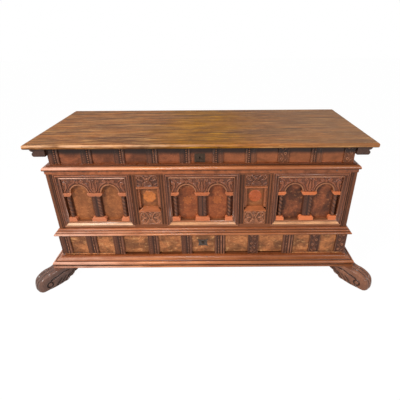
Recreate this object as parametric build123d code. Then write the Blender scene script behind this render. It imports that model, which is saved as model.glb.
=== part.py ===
"""A walnut cassone: a panelled chest over one wide drawer, on scroll feet.

The chest box is five boards. A frame of stiles and rails is laid on its front and carries three
arcaded panels in mitred frames and two narrow panels. The chest box stands on a plinth box with
the drawer, and moulded base, belt and cornice mouldings go round the front and both ends.

Axes: X to the right, Y to the back, Z up. While the pieces are built, X = 0 is the middle, Y = 0
the front face of the stiles and rails, and Z = 0 the floor. Each piece is moved back or forward
at the end, so that the origin lies under the middle of the whole object.
"""
from build123d import *
import os
from math import cos, radians, sin

os.makedirs("parts", exist_ok=True)

# ------------------------------------------------------------------ overall sizes
body_width = 1622.0            # across the outer faces of the panelled storey
body_depth = 670.0             # from the front of the stiles to the back board's outer face
foot_height = 98.0
base_height = 60.0             # base moulding
drawer_band_height = 140.0     # from the base moulding to the underside of the chest box
chest_height = 513.0           # chest box, floor board to lid
face_height = 392.0            # height of the panelled facing on the chest box

# ------------------------------------------------------------------ boards
face_thick = 32.0              # stiles, rails and end facings
front_board_thick = 24.0
end_board_thick = 28.0
back_thick = 22.0
floor_thick = 20.0
base_board_thick = 14.0
band_thick = 25.0              # drawer sill and fixed fronts
field_thick = 5.0              # veneered fields behind the arcades
end_recess_depth = 20.0        # framed field of an end facing

# ------------------------------------------------------------------ lid
lid_thick = 23.7
lid_front_overhang = 36.0
lid_end_overhang = 64.0
lid_back_overhang = 19.0
lid_edge_radius = 8.0
lid_gap = 0.3                  # the closed lid over the top edges of the boards
batten_width = 78.0
batten_drop = 51.0
batten_gap = 2.5               # batten beside the frieze blocks
batten_back_gap = 15.0
batten_lip = 8.0
batten_front = 8.0             # batten's end behind the face of the chest

# ------------------------------------------------------------------ panelled front
corner_stile_show = 35.5
stile_show = 30.0
narrow_width = 120.0
bottom_rail_show = 49.0        # below the panel frames, down to the chest box's underside
top_rail_show = 22.0           # above the panel frames
frame_width = 31.0             # mitred panel frame, seen from the front
frame_lap = 8.0                # the frame's outer lip on the stiles and rails
reed_width = 8.0               # grooves down the stiles
reed_depth = 3.5
corner_reeds = (20.0, 29.5)    # grooves of a corner stile, from its outer edge
stile_reed_offset = 7.5        # grooves of a panel stile, each side of its middle
arcade_thick = 17.0
arch_radius = 45.5
springing_drop = 84.0          # from the frame's inner top edge to the arches' centres
pier_width = 74.0              # middle pier, between the two arches
archivolt_width = 6.0
archivolt_proud = 3.0
capital_height = 18.0
capital_proud = 8.0
capital_splay = 9.0
capital_shoulder = 10.0        # height at which a capital reaches its full width
pier_lap = 3.0                 # capitals and bases beyond their pier
column_base_height = 24.0
column_base_proud = 9.0
column_base_chamfer = 8.0
column_width = 55.0
side_column_width = 28.0
column_proud = 5.0
column_round = 12.0            # rise of a column's rounded face
column_facet_turn = 36         # degrees between its facets
piece_gap = 0.3                # small pieces beside each other on one board

# ------------------------------------------------------------------ narrow panels
narrow_bottom_block = 86.0
narrow_top_block = 70.0
narrow_block_proud = 2.0
sill_height = 19.0
sill_hip = 15.0
sill_proud = 9.0
sill_nosing = 4.0
sill_land = 6.0                # level strip at the back of the sill
narrow_fillet_height = 8.0
narrow_fillet_proud = 5.0
narrow_strip_width = 12.0
rosette_radius = 36.0
rosette_thick = 2.0
rosette_sides = 24

# ------------------------------------------------------------------ frieze and drawer band
frieze_block_count = 10
frieze_block_width = 55.0
block_proud = 10.0             # blocks in front of their board
block_top_gap = 4.0            # frieze blocks below the top edges of the boards
side_block_count = 4
cornice_height = 24.0
belt_height = 36.0
belt_projection = 28.0
base_projection = 61.0
band_face = 3.0                # drawer front and fixed fronts in front of the stiles' face
band_block_width = 60.0
band_block_pitch = 192.0
band_lip_height = 8.0          # lip along the foot of the fixed fronts
band_lip_proud = 7.0
flute_spacing = 0.28           # between flutes, as a share of their block's width
flute_width = 9.0
flute_depth = 3.0

# ------------------------------------------------------------------ drawer
drawer_half_width = 518.0
drawer_gap = 1.5               # above the drawer
drawer_side_gap = 2.0
drawer_foot_gap = 12.0         # under the drawer front's board
block_foot_gap = 0.6           # under the blocks carried by the drawer
drawer_front_thick = 24.0
drawer_side_thick = 12.0
drawer_back_gap = 48.0         # behind the drawer, to the plinth's back
drawer_lap = 12.0              # front board in front of the side boards
drawer_side_drop = 6.5
drawer_side_foot = 2.0         # side boards below the front board
drawer_bottom_thick = 8.0
drawer_groove_depth = 5.0
drawer_bottom_rise = 8.0
slack = 0.2                    # boards in their grooves, iron in its recesses
partition_thick = 20.0
runner_width = 22.0
runner_height = 18.0
runner_gap = 0.3
runner_back_gap = 10.0
dovetail_count = 4
dovetail_flare = 4.0
dovetail_share = 0.32          # half width of a tail, as a share of the pitch

# ------------------------------------------------------------------ ironwork
hinge_x = 480.0
pin_radius = 2.5
pin_clearance = 0.15
pin_head_lip = 1.5
pin_head_length = 3.0
pin_head_sides = 8
knuckle_radius = 6.0
strap_width = 32.0
strap_tip_width = 18.0
strap_length = 330.0
strap_thick = 3.0
leaf_knuckle = 20.0
leaf_height = 72.0
leaf_thick = 3.0
knuckle_gap = 0.4
hinge_back_gap = 0.5           # knuckles behind the back board
hinge_drop = 0.3               # knuckles below the lid
leaf_top_gap = 1.0             # leaf plate below the knuckles
notch_gap = 1.0                # strap notches in the back board
notch_depth_gap = 0.5
lock_x = -8.0
lock_case_width = 90.0
lock_case_height = 76.0
lock_case_depth = 16.0
staple_width = 12.0
staple_thick = 6.0
staple_drop = 28.0
staple_plate_length = 60.0
staple_plate_thick = 3.0
eye_width = 6.0
eye_height = 10.0
eye_rise = 4.0                 # eye above the staple's foot
bolt_travel = 18.0
bolt_length = 34.0
bolt_rest_gap = 3.0            # drawn bolt beside the staple
bolt_drop = 1.0                # bolt inside the eye, above and below
bolt_slack = 0.4               # bolt inside the eye, front and back
channel_slack = 0.3            # bolts in their channels
channel_end_gap = 1.0
staple_slot_gap = 2.0
staple_slot_drop = 3.0
staple_slot_slack = 1.0
plate_thick = 2.0
lid_plate_width = 54.0
lid_plate_height = 49.0
lid_plate_rise = 2.0           # above the cornice
lid_keyhole_rise = 4.0         # above the middle of its plate
star_x = -2.0
star_width = 68.0
star_height = 66.0
star_drop = 68.5               # its middle below the top of the drawer front
star_keyhole_rise = 10.0
star_waist = (0.36, 0.30)      # inner corners, as shares of half the width and height
star_point = (0.62, 0.80)      # slanting points
keyhole_radius = 4.0
keyhole_slot = 4.0
keyhole_drop = 12.0
till_case_width = 70.0
till_case_height = 60.0
till_case_depth = 16.0
till_bolt_width = 24.0
till_bolt_thick = 6.0
till_bolt_length = 32.0
till_bolt_travel = 9.0
till_bolt_rest_gap = 0.5       # resting bolt below the top of the drawer front
till_mortise_gap = 1.0
till_mortise_depth_gap = 3.0

# ------------------------------------------------------------------ feet
foot_thick = 80.0
toe_reach = 120.0              # beyond the corner of the base moulding, along the diagonal
toe_crown = 87.0               # behind the toe, where its curve leaves the base moulding
toe_round = 26.0               # how far the toe is rounded in plan
rear_foot_thick = 72.0
rear_foot_inset = 8.0          # inside the base moulding's corner
foot_root = 150.0              # behind the corner, along the diagonal

# ------------------------------------------------------------------ levels and faces that follow
half = body_width / 2
back = body_depth
frieze_setback = face_thick - block_proud
z_base = foot_height
z_band = z_base + base_height
z_chest = z_band + drawer_band_height
z_top = z_chest + chest_height
z_face_top = z_chest + face_height
z_frieze = z_face_top + cornice_height
z_lid = z_top + lid_gap

box_half = half - face_thick
board_front = face_thick
board_back = board_front + front_board_thick
well_half = box_half - end_board_thick
well_back = back - back_thick

frame_outer_width = (body_width - 2 * corner_stile_show - 4 * stile_show - 2 * narrow_width) / 3
frame_outer_height = face_height - bottom_rail_show - top_rail_show
frame_z = z_chest + bottom_rail_show
side_panel_x = frame_outer_width + 2 * stile_show + narrow_width
narrow_x = frame_outer_width / 2 + stile_show + narrow_width / 2
panel_centres = {"left": -side_panel_x, "centre": 0.0, "right": side_panel_x}
field_face = face_thick - field_thick
arcade_face = field_face - arcade_thick
inner_width = frame_outer_width - 2 * frame_width
inner_z = frame_z + frame_width
inner_top = frame_z + frame_outer_height - frame_width
springing = inner_top - springing_drop
opening_z = frame_z + frame_lap
opening_top = frame_z + frame_outer_height - frame_lap
band_back = band_thick - band_face
drawer_opening = drawer_half_width + drawer_side_gap
plinth_end_face = half + band_face
plinth_end_inner = plinth_end_face - end_board_thick
runner_top = z_band + drawer_foot_gap - drawer_side_foot


# ------------------------------------------------------------------ ways of making pieces
def box(x0, x1, y0, y1, z0, z1):
    """Board between two X, two Y and two Z values."""
    size = (abs(x1 - x0), abs(y1 - y0), abs(z1 - z0))
    middle = ((x0 + x1) / 2, (y0 + y1) / 2, (z0 + z1) / 2)
    return Pos(*middle) * Box(*size)


def outline(start, *moves):
    """Closed face: each move is a point for a straight edge, or (through, end) for an arc.

    A last straight edge closes it, unless the moves already end at the start.
    """
    here = start
    edges = []
    for move in moves:
        if isinstance(move[0], tuple):
            edges.append(ThreePointArc(here, move[0], move[1]))
            here = move[1]
        else:
            edges.append(Line(here, move))
            here = move
    if here != start:
        edges.append(Line(here, start))
    return make_face(edges)


def polygon(*corners):
    """Closed face through the corners; a corner given twice counts once."""
    points = [corner for k, corner in enumerate(corners) if corner != corners[k - 1]]
    return make_face(Polyline(*points, close=True))


def other_side(shape):
    """The same piece on the other side of the middle plane."""
    return mirror(shape, about=Plane.YZ)


def pair(shape):
    """A right-hand piece and its left-hand twin."""
    return [shape, other_side(shape)]


def plan_prism(*corners):
    """Tall prism over a plan, to cut mitres with."""
    return extrude(polygon(*corners), 2 * z_top)


def storey_moulding(section):
    """Moulding round the front and both ends, mitred at the corners.

    The section's first value is the distance in front of the stiles' face, its second the height.
    """
    reach = base_projection + face_thick
    front_plane = Plane(origin=(0, 0, 0), x_dir=(0, -1, 0), z_dir=(-1, 0, 0))
    end_plane = Plane(origin=(half, back, 0), x_dir=(1, 0, 0), z_dir=(0, -1, 0))
    front = extrude(front_plane * section, half + reach, both=True)
    front &= plan_prism(
        (-half - reach, -reach), (half + reach, -reach), (half - reach, reach), (reach - half, reach))
    end = extrude(end_plane * section, back + reach)
    end &= plan_prism(
        (half + reach, -reach), (half + reach, back), (half - reach, back), (half - reach, reach))
    return [front] + pair(end)


def frame_member(length, depth):
    """Bottom member of a mitred panel frame, its outer edge on Z = 0 and centred on X = 0.

    A fillet, a torus, a slope and an inner bead, with a leg down to the field at the given depth.
    """
    lip = frame_lap
    section = outline(
        (0, 0), (0, 4), (5, 4), (5, 1.5), (7.5, 1.5), (8.5, 4.5), (11, 6.2), (14, 5.4), (16, 3),
        (16, 1), (18, 1), (22, -3.5), (24, -1), (28, -0.5), (frame_width, -4.5),
        (frame_width, -depth), (lip, -depth), (lip, 0))
    along = Plane(origin=(0, 0, 0), x_dir=(0, 0, 1), z_dir=(1, 0, 0))
    bar = extrude(along * section, length / 2, both=True)
    plan = polygon(
        (-length / 2, 0), (length / 2, 0),
        (length / 2 - frame_width, frame_width), (frame_width - length / 2, frame_width))
    return bar & extrude(Plane.XZ * plan, 2 * face_thick, both=True)


def panel_frame(width, height, depth):
    """Four mitred members round a panel centred on X = 0, with their lower edge on Z = 0."""
    across = frame_member(width, depth)
    upright = frame_member(height, depth)
    return [
        across,
        Pos(0, 0, height) * Rot(0, 180, 0) * across,
        Pos(-width / 2, 0, height / 2) * Rot(0, 90, 0) * upright,
        Pos(width / 2, 0, height / 2) * Rot(0, -90, 0) * upright,
    ]


def reeded(stile, centres, z0, z1):
    """Stile with V-shaped grooves down its face."""
    groove = extrude(polygon((-reed_width / 2, 0), (0, reed_depth), (reed_width / 2, 0)), z1 - z0)
    for x in centres:
        stile -= Pos(x, 0, z0) * groove
    return stile


def fluted_block(x, y_face, width, z0, z1, y_back):
    """Upright block with three V-shaped flutes down its face."""
    block = box(x - width / 2, x + width / 2, y_face, y_back, z0, z1)
    flute_plan = polygon((-flute_width / 2, 0), (0, flute_depth), (flute_width / 2, 0))
    flute = extrude(flute_plan, z1 - z0 - 2 * flute_width)
    for step in (-1, 0, 1):
        block -= Pos(x + step * width * flute_spacing, y_face, z0 + flute_width) * flute
    return block


def corner_block(outer, y_face, width, z0, z1):
    """Right-hand fluted block that wraps round a corner of a board."""
    block = fluted_block(outer - width / 2, y_face, width, z0, z1, y_face + block_proud)
    return block + box(outer - block_proud, outer, y_face, y_face + width, z0, z1)


def end_blocks(outer, y_first, width, z0, z1):
    """Right-hand blocks along an end, between the corner block and the back."""
    blocks = []
    last = back - width / 2
    first = y_first + width / 2
    for k in range(1, side_block_count):
        y = first + (last - first) * k / (side_block_count - 1)
        blocks.append(box(outer - block_proud, outer, y - width / 2, y + width / 2, z0, z1))
    return blocks


def keyhole(x, z, y0, y1):
    """Round hole over a slot, through from y0 to y1."""
    drill = Pos(x, (y0 + y1) / 2, z) * Rot(90, 0, 0) * Cylinder(keyhole_radius, abs(y1 - y0))
    return drill + box(x - keyhole_slot / 2, x + keyhole_slot / 2, y0, y1, z - keyhole_drop, z)


pieces = {}

# ------------------------------------------------------------------ chest box: five boards
lock_y = board_back - lock_case_depth
lock_z = z_top - lock_case_height
lid_plate_z = z_frieze + lid_plate_rise
lock_key_z = lid_plate_z + lid_plate_height / 2 + lid_keyhole_rise
lock_pocket = box(
    lock_x - lock_case_width / 2 - slack, lock_x + lock_case_width / 2 + slack,
    lock_y, board_back, lock_z - slack, z_top)
front_board = box(-box_half, box_half, board_front, board_back, z_chest, z_top) - lock_pocket
front_board -= keyhole(lock_x, lock_key_z, board_front, lock_y)
pieces["front_board"] = [front_board]

end_board = box(well_half, box_half, board_back, back, z_chest, z_top)
pieces["end_board_right"] = [end_board]
pieces["end_board_left"] = [other_side(end_board)]

strap_notch = box(
    hinge_x - strap_width / 2 - notch_gap, hinge_x + strap_width / 2 + notch_gap,
    well_back, back, z_top - strap_thick - notch_depth_gap, z_top)
back_board = box(-well_half, well_half, well_back, back, z_chest, z_top)
for notch in pair(strap_notch):
    back_board -= notch
pieces["back_board"] = [back_board]
pieces["chest_floor"] = [box(-well_half, well_half, board_back, well_back, z_chest, z_chest + floor_thick)]

# ------------------------------------------------------------------ facing of stiles and rails
stile_inner = half - corner_stile_show - frame_lap
corner_stile = reeded(
    box(stile_inner, half, 0, face_thick, z_chest, z_face_top),
    [half - inset for inset in corner_reeds], z_chest, z_face_top)
pieces["corner_stiles"] = pair(corner_stile)

outer_stile = (narrow_x + narrow_width / 2, side_panel_x - frame_outer_width / 2 + frame_lap)
inner_stile = (frame_outer_width / 2 - frame_lap, narrow_x - narrow_width / 2)
stiles = []
for x0, x1, middle in (
    (outer_stile[0], outer_stile[1], outer_stile[0] + stile_show / 2),
    (inner_stile[0], inner_stile[1], inner_stile[1] - stile_show / 2),
):
    upright = box(x0, x1, 0, face_thick, opening_z, opening_top)
    stiles += pair(reeded(
        upright, (middle - stile_reed_offset, middle + stile_reed_offset), opening_z, opening_top))
pieces["panel_stiles"] = stiles

till_x = star_x
drawer_back_face = drawer_front_thick - band_face
till_bolt_y = drawer_back_face - till_case_depth / 2
bolt_mortise = box(
    till_x - till_bolt_width / 2 - till_mortise_gap,
    till_x + till_bolt_width / 2 + till_mortise_gap,
    till_bolt_y - till_bolt_thick / 2 - till_mortise_gap,
    till_bolt_y + till_bolt_thick / 2 + till_mortise_gap,
    z_chest, z_chest + till_bolt_travel + till_mortise_depth_gap)
pieces["bottom_rail"] = [
    box(-stile_inner, stile_inner, 0, face_thick, z_chest, opening_z) - bolt_mortise]
pieces["top_rail"] = [box(-stile_inner, stile_inner, 0, face_thick, opening_top, z_face_top)]

# ------------------------------------------------------------------ ends: facing boards and frames
end_frame_width = back - 2 * (corner_stile_show + frame_lap)
end_frame_y = back / 2
end_recess = box(
    half - end_recess_depth, half, end_frame_y - end_frame_width / 2 + frame_lap,
    end_frame_y + end_frame_width / 2 - frame_lap, opening_z, opening_top)
end_facing = box(box_half, half, face_thick, back, z_chest, z_face_top) - end_recess
pieces["end_facings"] = pair(end_facing)
end_frame = [
    Pos(half, end_frame_y, frame_z) * Rot(0, 0, 90) * member
    for member in panel_frame(end_frame_width, frame_outer_height, end_recess_depth)
]
pieces["end_frame_right"] = end_frame
pieces["end_frame_left"] = [other_side(member) for member in end_frame]

# ------------------------------------------------------------------ arcaded panels
arch_x = pier_width / 2 + arch_radius
side_pier = inner_width / 2 - arch_x - arch_radius
capitals = []
column_bases = []
columns = []


def capital(width, x, left_splay, right_splay):
    """Block wider at its top, with a fillet over it."""
    z0 = springing - capital_height
    z1 = springing - piece_gap
    shape = polygon(
        (x - width / 2 + left_splay, z0), (x + width / 2 - right_splay, z0),
        (x + width / 2, z0 + capital_shoulder), (x + width / 2, z1),
        (x - width / 2, z1), (x - width / 2, z0 + capital_shoulder))
    depth = field_face - arcade_face + capital_proud
    return extrude(Plane.XZ * shape, -depth).moved(Pos(0, field_face - depth, 0))


def column_base(width, x, left_cut, right_cut):
    """Block with its upper corners cut off."""
    z0 = inner_z + piece_gap
    z1 = inner_z + column_base_height
    shape = polygon(
        (x - width / 2, z0), (x + width / 2, z0), (x + width / 2, z1 - right_cut),
        (x + width / 2 - right_cut, z1), (x - width / 2 + left_cut, z1), (x - width / 2, z1 - left_cut))
    depth = field_face - arcade_face + column_base_proud
    return extrude(Plane.XZ * shape, -depth).moved(Pos(0, field_face - depth, 0))


def column(width, x):
    """Shaft with a faceted round face against the field."""
    z0 = inner_z + column_base_height + piece_gap
    z1 = springing - capital_height - piece_gap
    depth = field_face - arcade_face + column_proud
    shoulder = field_face - depth + column_round
    facets = [
        (x + width / 2 * cos(radians(turn)), shoulder - column_round * sin(radians(turn)))
        for turn in range(0, 181, column_facet_turn)
    ]
    plan = polygon((x - width / 2, field_face), (x + width / 2, field_face), *facets)
    return extrude(Pos(0, 0, z0) * plan, z1 - z0)


for side, cx in panel_centres.items():
    opening_half = frame_outer_width / 2 - frame_lap - slack
    pieces["field_" + side] = [
        box(cx - opening_half, cx + opening_half, field_face, face_thick,
            opening_z + slack, opening_top - slack)]
    pieces["frame_" + side] = [
        Pos(cx, 0, frame_z) * member
        for member in panel_frame(frame_outer_width, frame_outer_height, field_face)]
    board = box(
        cx - inner_width / 2 + piece_gap, cx + inner_width / 2 - piece_gap,
        arcade_face, field_face, springing, inner_top - piece_gap)
    for x in (cx - arch_x, cx + arch_x):
        ring = Pos(x, arcade_face - archivolt_proud / 2, springing) * Rot(90, 0, 0) * Cylinder(
            arch_radius + archivolt_width, archivolt_proud)
        board += ring & box(
            x - pier_width / 2 - arch_radius, x + pier_width / 2 + arch_radius,
            arcade_face - archivolt_proud, arcade_face, springing, inner_top)
    for x in (cx - arch_x, cx + arch_x):
        board -= Pos(x, arcade_face, springing) * Rot(90, 0, 0) * Cylinder(arch_radius, 4 * arcade_thick)
    board &= box(
        cx - inner_width / 2 + piece_gap, cx + inner_width / 2 - piece_gap,
        0, field_face, springing, inner_top)
    pieces["arcade_" + side] = [board]

    middle_width = pier_width + 2 * pier_lap
    outer_width = side_pier - piece_gap + pier_lap
    outer_x = inner_width / 2 - piece_gap - outer_width / 2
    capitals.append(capital(middle_width, cx, capital_splay, capital_splay))
    capitals.append(capital(outer_width, cx - outer_x, 0.0, capital_splay))
    capitals.append(capital(outer_width, cx + outer_x, capital_splay, 0.0))
    column_bases.append(column_base(middle_width, cx, column_base_chamfer, column_base_chamfer))
    column_bases.append(column_base(outer_width, cx - outer_x, 0.0, column_base_chamfer))
    column_bases.append(column_base(outer_width, cx + outer_x, column_base_chamfer, 0.0))
    columns.append(column(column_width, cx))
    for sign in (-1, 1):
        columns.append(column(side_column_width, cx + sign * (inner_width / 2 - side_pier / 2)))
pieces["capitals"] = capitals
pieces["column_bases"] = column_bases
pieces["columns"] = columns

# ------------------------------------------------------------------ narrow panels
narrow_half = narrow_width / 2 - slack
nx0 = narrow_x - narrow_half
nx1 = narrow_x + narrow_half
pieces["narrow_fields"] = pair(box(nx0, nx1, field_face, face_thick, opening_z + slack, opening_top - slack))
low_top = opening_z + narrow_bottom_block
high_z = opening_top - narrow_top_block
narrow_blocks = []
for z0, z1 in ((opening_z + slack, low_top), (high_z, opening_top - slack)):
    narrow_blocks += pair(box(nx0, nx1, -narrow_block_proud, field_face, z0, z1))
pieces["narrow_blocks"] = narrow_blocks

sill_z0 = low_top + piece_gap
sill_z1 = low_top + sill_height
sill_side = polygon(
    (field_face, sill_z0), (-sill_proud, sill_z0), (-sill_proud, sill_z0 + sill_nosing),
    (field_face - sill_land, sill_z1), (field_face, sill_z1))
sill_face = polygon(
    (nx0, sill_z0), (nx1, sill_z0), (nx1, sill_z0 + sill_nosing),
    (nx1 - sill_hip, sill_z1), (nx0 + sill_hip, sill_z1), (nx0, sill_z0 + sill_nosing))
sill = extrude(Plane.YZ.offset(nx0) * sill_side, nx1 - nx0)
sill &= extrude(Plane.XZ * sill_face, 2 * face_thick, both=True)
narrow_trim = pair(sill)
fillet_z = high_z - narrow_fillet_height - piece_gap
narrow_trim += pair(box(nx0, nx1, -narrow_fillet_proud, field_face, fillet_z, high_z - piece_gap))
for x0 in (nx0, nx1 - narrow_strip_width):
    strip = box(
        x0, x0 + narrow_strip_width, arcade_face, field_face,
        low_top + sill_height + piece_gap, fillet_z - piece_gap)
    narrow_trim += pair(strip)
pieces["narrow_trim"] = narrow_trim

rosette_z = (low_top + sill_height + fillet_z) / 2
rosette_plane = Plane(origin=(narrow_x, field_face, rosette_z), x_dir=(1, 0, 0), z_dir=(0, -1, 0))
rosette = extrude(rosette_plane * RegularPolygon(rosette_radius, rosette_sides), rosette_thick)
pieces["rosettes"] = pair(rosette)

# ------------------------------------------------------------------ mouldings
cornice = outline(
    (-face_thick, z_face_top), (-face_thick, z_frieze), (-10, z_frieze), (-10, z_frieze - 5),
    (-7, z_frieze - 6), ((8, z_frieze - 11), (11.7, z_frieze - 21)),
    ((10, z_frieze - 26), (5, z_frieze - 28)), (3, z_frieze - 28), (3, z_face_top - top_rail_show),
    (0, z_face_top - top_rail_show), (0, z_face_top))
pieces["cornice"] = storey_moulding(cornice)

bz = z_chest
bp = belt_projection
belt = outline(
    (0, bz), (0, bz + belt_height), (2, bz + belt_height),
    ((8, bz + belt_height - 3), (9, bz + belt_height - 10)), (11, bz + belt_height - 12),
    ((17.5, bz + belt_height - 14.5), (18, bz + belt_height - 21)), (20, bz + belt_height - 22.5),
    ((bp, bz + 9), (bp, bz + 2)), (bp - 2, bz))
pieces["belt_moulding"] = storey_moulding(belt)

nose = base_projection
base = outline(
    (band_face, z_base), (band_face, z_band), (20, z_band), (20, z_band - 4),
    ((24, z_band - 14), (36, z_band - 17)), ((44, z_band - 19), (46, z_band - 24)), (48, z_band - 24),
    ((nose - 3, z_band - 22), (nose, z_band - 31)), ((nose - 2, z_band - 40), (nose - 7, z_band - 43)),
    (nose - 7, z_band - 46), (nose - 1, z_band - 47), (nose - 1, z_base))
pieces["base_moulding"] = storey_moulding(base)

# ------------------------------------------------------------------ frieze blocks under the lid
frieze_half = half - frieze_setback
block_z1 = z_top - block_top_gap
end_x = frieze_half - frieze_block_width / 2
pitch = 2 * end_x / (frieze_block_count - 1)
frieze_blocks = []
for k in range(1, frieze_block_count - 1):
    frieze_blocks.append(fluted_block(
        -end_x + k * pitch, frieze_setback, frieze_block_width, z_frieze, block_z1,
        frieze_setback + block_proud))
frieze_blocks += pair(corner_block(frieze_half, frieze_setback, frieze_block_width, z_frieze, block_z1))
for block in end_blocks(frieze_half, frieze_setback, frieze_block_width, z_frieze, block_z1):
    frieze_blocks += pair(block)
pieces["frieze_blocks"] = frieze_blocks

# ------------------------------------------------------------------ plinth box round the drawer
pieces["base_board"] = [
    box(-plinth_end_face, plinth_end_face, -band_face, back, z_base, z_base + base_board_thick)]
floor_z = z_base + base_board_thick
pieces["drawer_sill"] = [box(-plinth_end_face, plinth_end_face, -band_face, band_back, floor_z, z_band)]
plinth_end = box(plinth_end_inner, plinth_end_face, band_back, back, floor_z, z_chest)
pieces["plinth_ends"] = pair(plinth_end)
pieces["plinth_back"] = [box(-plinth_end_inner, plinth_end_inner, well_back, back, floor_z, z_chest)]
fixed_front = box(drawer_opening, plinth_end_face, -band_face, band_back, z_band, z_chest)
fixed_front += box(
    drawer_opening, plinth_end_face, -band_face - band_lip_proud, -band_face,
    z_band, z_band + band_lip_height)
pieces["fixed_fronts"] = pair(fixed_front)
partition = box(
    drawer_opening, drawer_opening + partition_thick, band_back, well_back, floor_z, z_chest)
pieces["partitions"] = pair(partition)
runner = box(
    drawer_opening - runner_width, drawer_opening, band_back, well_back - runner_back_gap,
    runner_top - runner_height, runner_top)
pieces["runners"] = pair(runner)

block_face = -band_face - block_proud
corner_outer = plinth_end_face + block_proud
block_z0 = z_band + band_lip_height
corner_inner = corner_outer - band_block_width
plinth_blocks = pair(corner_block(corner_outer, block_face, band_block_width, block_z0, z_chest))
plinth_blocks += pair(fluted_block(
    (drawer_opening + corner_inner) / 2, block_face, band_block_width, block_z0, z_chest, -band_face))
for block in end_blocks(corner_outer, block_face, band_block_width, block_z0, z_chest):
    plinth_blocks += pair(block)
pieces["plinth_blocks"] = plinth_blocks

# ------------------------------------------------------------------ feet
corner = (half + base_projection, -base_projection)
tr = toe_reach
foot_curve = Spline(
    (tr - toe_crown, z_base), (tr - 62, z_base - 6), (tr - 39, z_base - 17), (tr - 19, z_base - 35),
    (tr - 6, z_base - 58),
    (tr, z_base - 78), (tr - 5, 6), (tr - 15, 0), tangents=((1, 0), (-1, 0)))
foot_edges = [
    Line((-foot_root, z_base), (tr - toe_crown, z_base)), foot_curve, Line((tr - 15, 0), (32, 0)),
    ThreePointArc((32, 0), (0, 2), (-32, 7)), ThreePointArc((-32, 7), (-50, 9), (-64, 24)),
    ThreePointArc((-64, 24), (-82, 26), (-96, 44)), ThreePointArc((-96, 44), (-113, 48), (-126, 66)),
    ThreePointArc((-126, 66), (-142, 76), (-foot_root, z_base)),
]
foot_plane = Plane(origin=(corner[0], corner[1], 0), x_dir=(1, -1, 0), z_dir=(-1, -1, 0))
foot = extrude(foot_plane * make_face(foot_edges), foot_thick / 2, both=True)
toe_radius = (toe_round ** 2 + (foot_thick / 2) ** 2) / (2 * toe_round)
toe_turns = (-45, -18, 18, 45)
toe_flats = [
    (tr - toe_radius + toe_radius * cos(radians(turn)), toe_radius * sin(radians(turn)))
    for turn in toe_turns
]
toe_plan = polygon(
    (-foot_root, -foot_thick / 2), (tr - toe_round, -foot_thick / 2), *toe_flats,
    (tr - toe_round, foot_thick / 2), (-foot_root, foot_thick / 2))
toe_plane = Plane(origin=(corner[0], corner[1], 0), x_dir=(1, -1, 0), z_dir=(0, 0, 1))
foot &= extrude(toe_plane * toe_plan, z_base)
pieces["foot_front_right"] = [foot]
pieces["foot_front_left"] = [other_side(foot)]

rear = outline(
    (0, z_base), ((18, z_base - 11), (26, z_base - 34)), ((26, 22), (12, 0)), (-72, 0),
    ((-78, 16), (-94, 26)), ((-112, 50), (-120, z_base)))
rear_plane = Plane(
    origin=(corner[0] - rear_foot_inset, back - rear_foot_thick, 0), x_dir=(1, 0, 0), z_dir=(0, -1, 0))
rear_foot = extrude(rear_plane * rear, -rear_foot_thick)
pieces["rear_feet"] = pair(rear_foot)

# ------------------------------------------------------------------ lid
lid_half = half + lid_end_overhang
lid_board = box(
    -lid_half, lid_half, -lid_front_overhang, back + lid_back_overhang, z_lid, z_lid + lid_thick)
rounded = [
    edge for edge in lid_board.edges().filter_by(Axis.Z, reverse=True)
    if edge.center().Y < back
]
lid_board = fillet(rounded, lid_edge_radius)
staple_y = (lock_y + board_back) / 2
staple_recess = box(
    lock_x - staple_plate_length / 2 - slack, lock_x + staple_plate_length / 2 + slack,
    staple_y - lock_case_depth / 2 - slack, staple_y + lock_case_depth / 2 + slack,
    z_lid, z_lid + staple_plate_thick)
pieces["lid_board"] = [lid_board - staple_recess]

batten_inner = frieze_half + batten_gap
bw = batten_width
batten_section = outline(
    (0, 0), (bw, 0), (bw, -batten_lip), (bw - 4, -batten_lip), ((bw - 8, -20), (bw - 19, -25)),
    (bw - 19, -28), ((bw - 12, -38), (bw - 20, -batten_drop)), (0, -batten_drop))
batten_plane = Plane(origin=(batten_inner, batten_front, z_lid), x_dir=(1, 0, 0), z_dir=(0, -1, 0))
batten = extrude(batten_plane * batten_section, -(back - batten_back_gap - batten_front))
pieces["lid_battens"] = pair(batten)

# ------------------------------------------------------------------ hinges: straps, leaves, pins
axis_y = back + knuckle_radius + hinge_back_gap
axis_z = z_lid - knuckle_radius - hinge_drop
bore_radius = pin_radius + pin_clearance


def knuckle(x, length):
    """Barrel on the hinge axis, from x along +X."""
    return Pos(x + length / 2, axis_y, axis_z) * Rot(0, 90, 0) * Cylinder(knuckle_radius, length)


hinge_bore = Pos(hinge_x, axis_y, axis_z) * Rot(0, 90, 0) * Cylinder(bore_radius, 4 * strap_width)
strap_shape = outline(
    (-strap_width / 2, 0), (strap_width / 2, 0), (strap_tip_width / 2, -strap_length),
    ((0, -strap_length - strap_tip_width / 2), (-strap_tip_width / 2, -strap_length)))
strap = extrude(Pos(hinge_x, axis_y, z_lid - strap_thick) * strap_shape, strap_thick)
strap += knuckle(hinge_x - strap_width / 2, strap_width)
pieces["lid_straps"] = pair(strap - hinge_bore)

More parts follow.
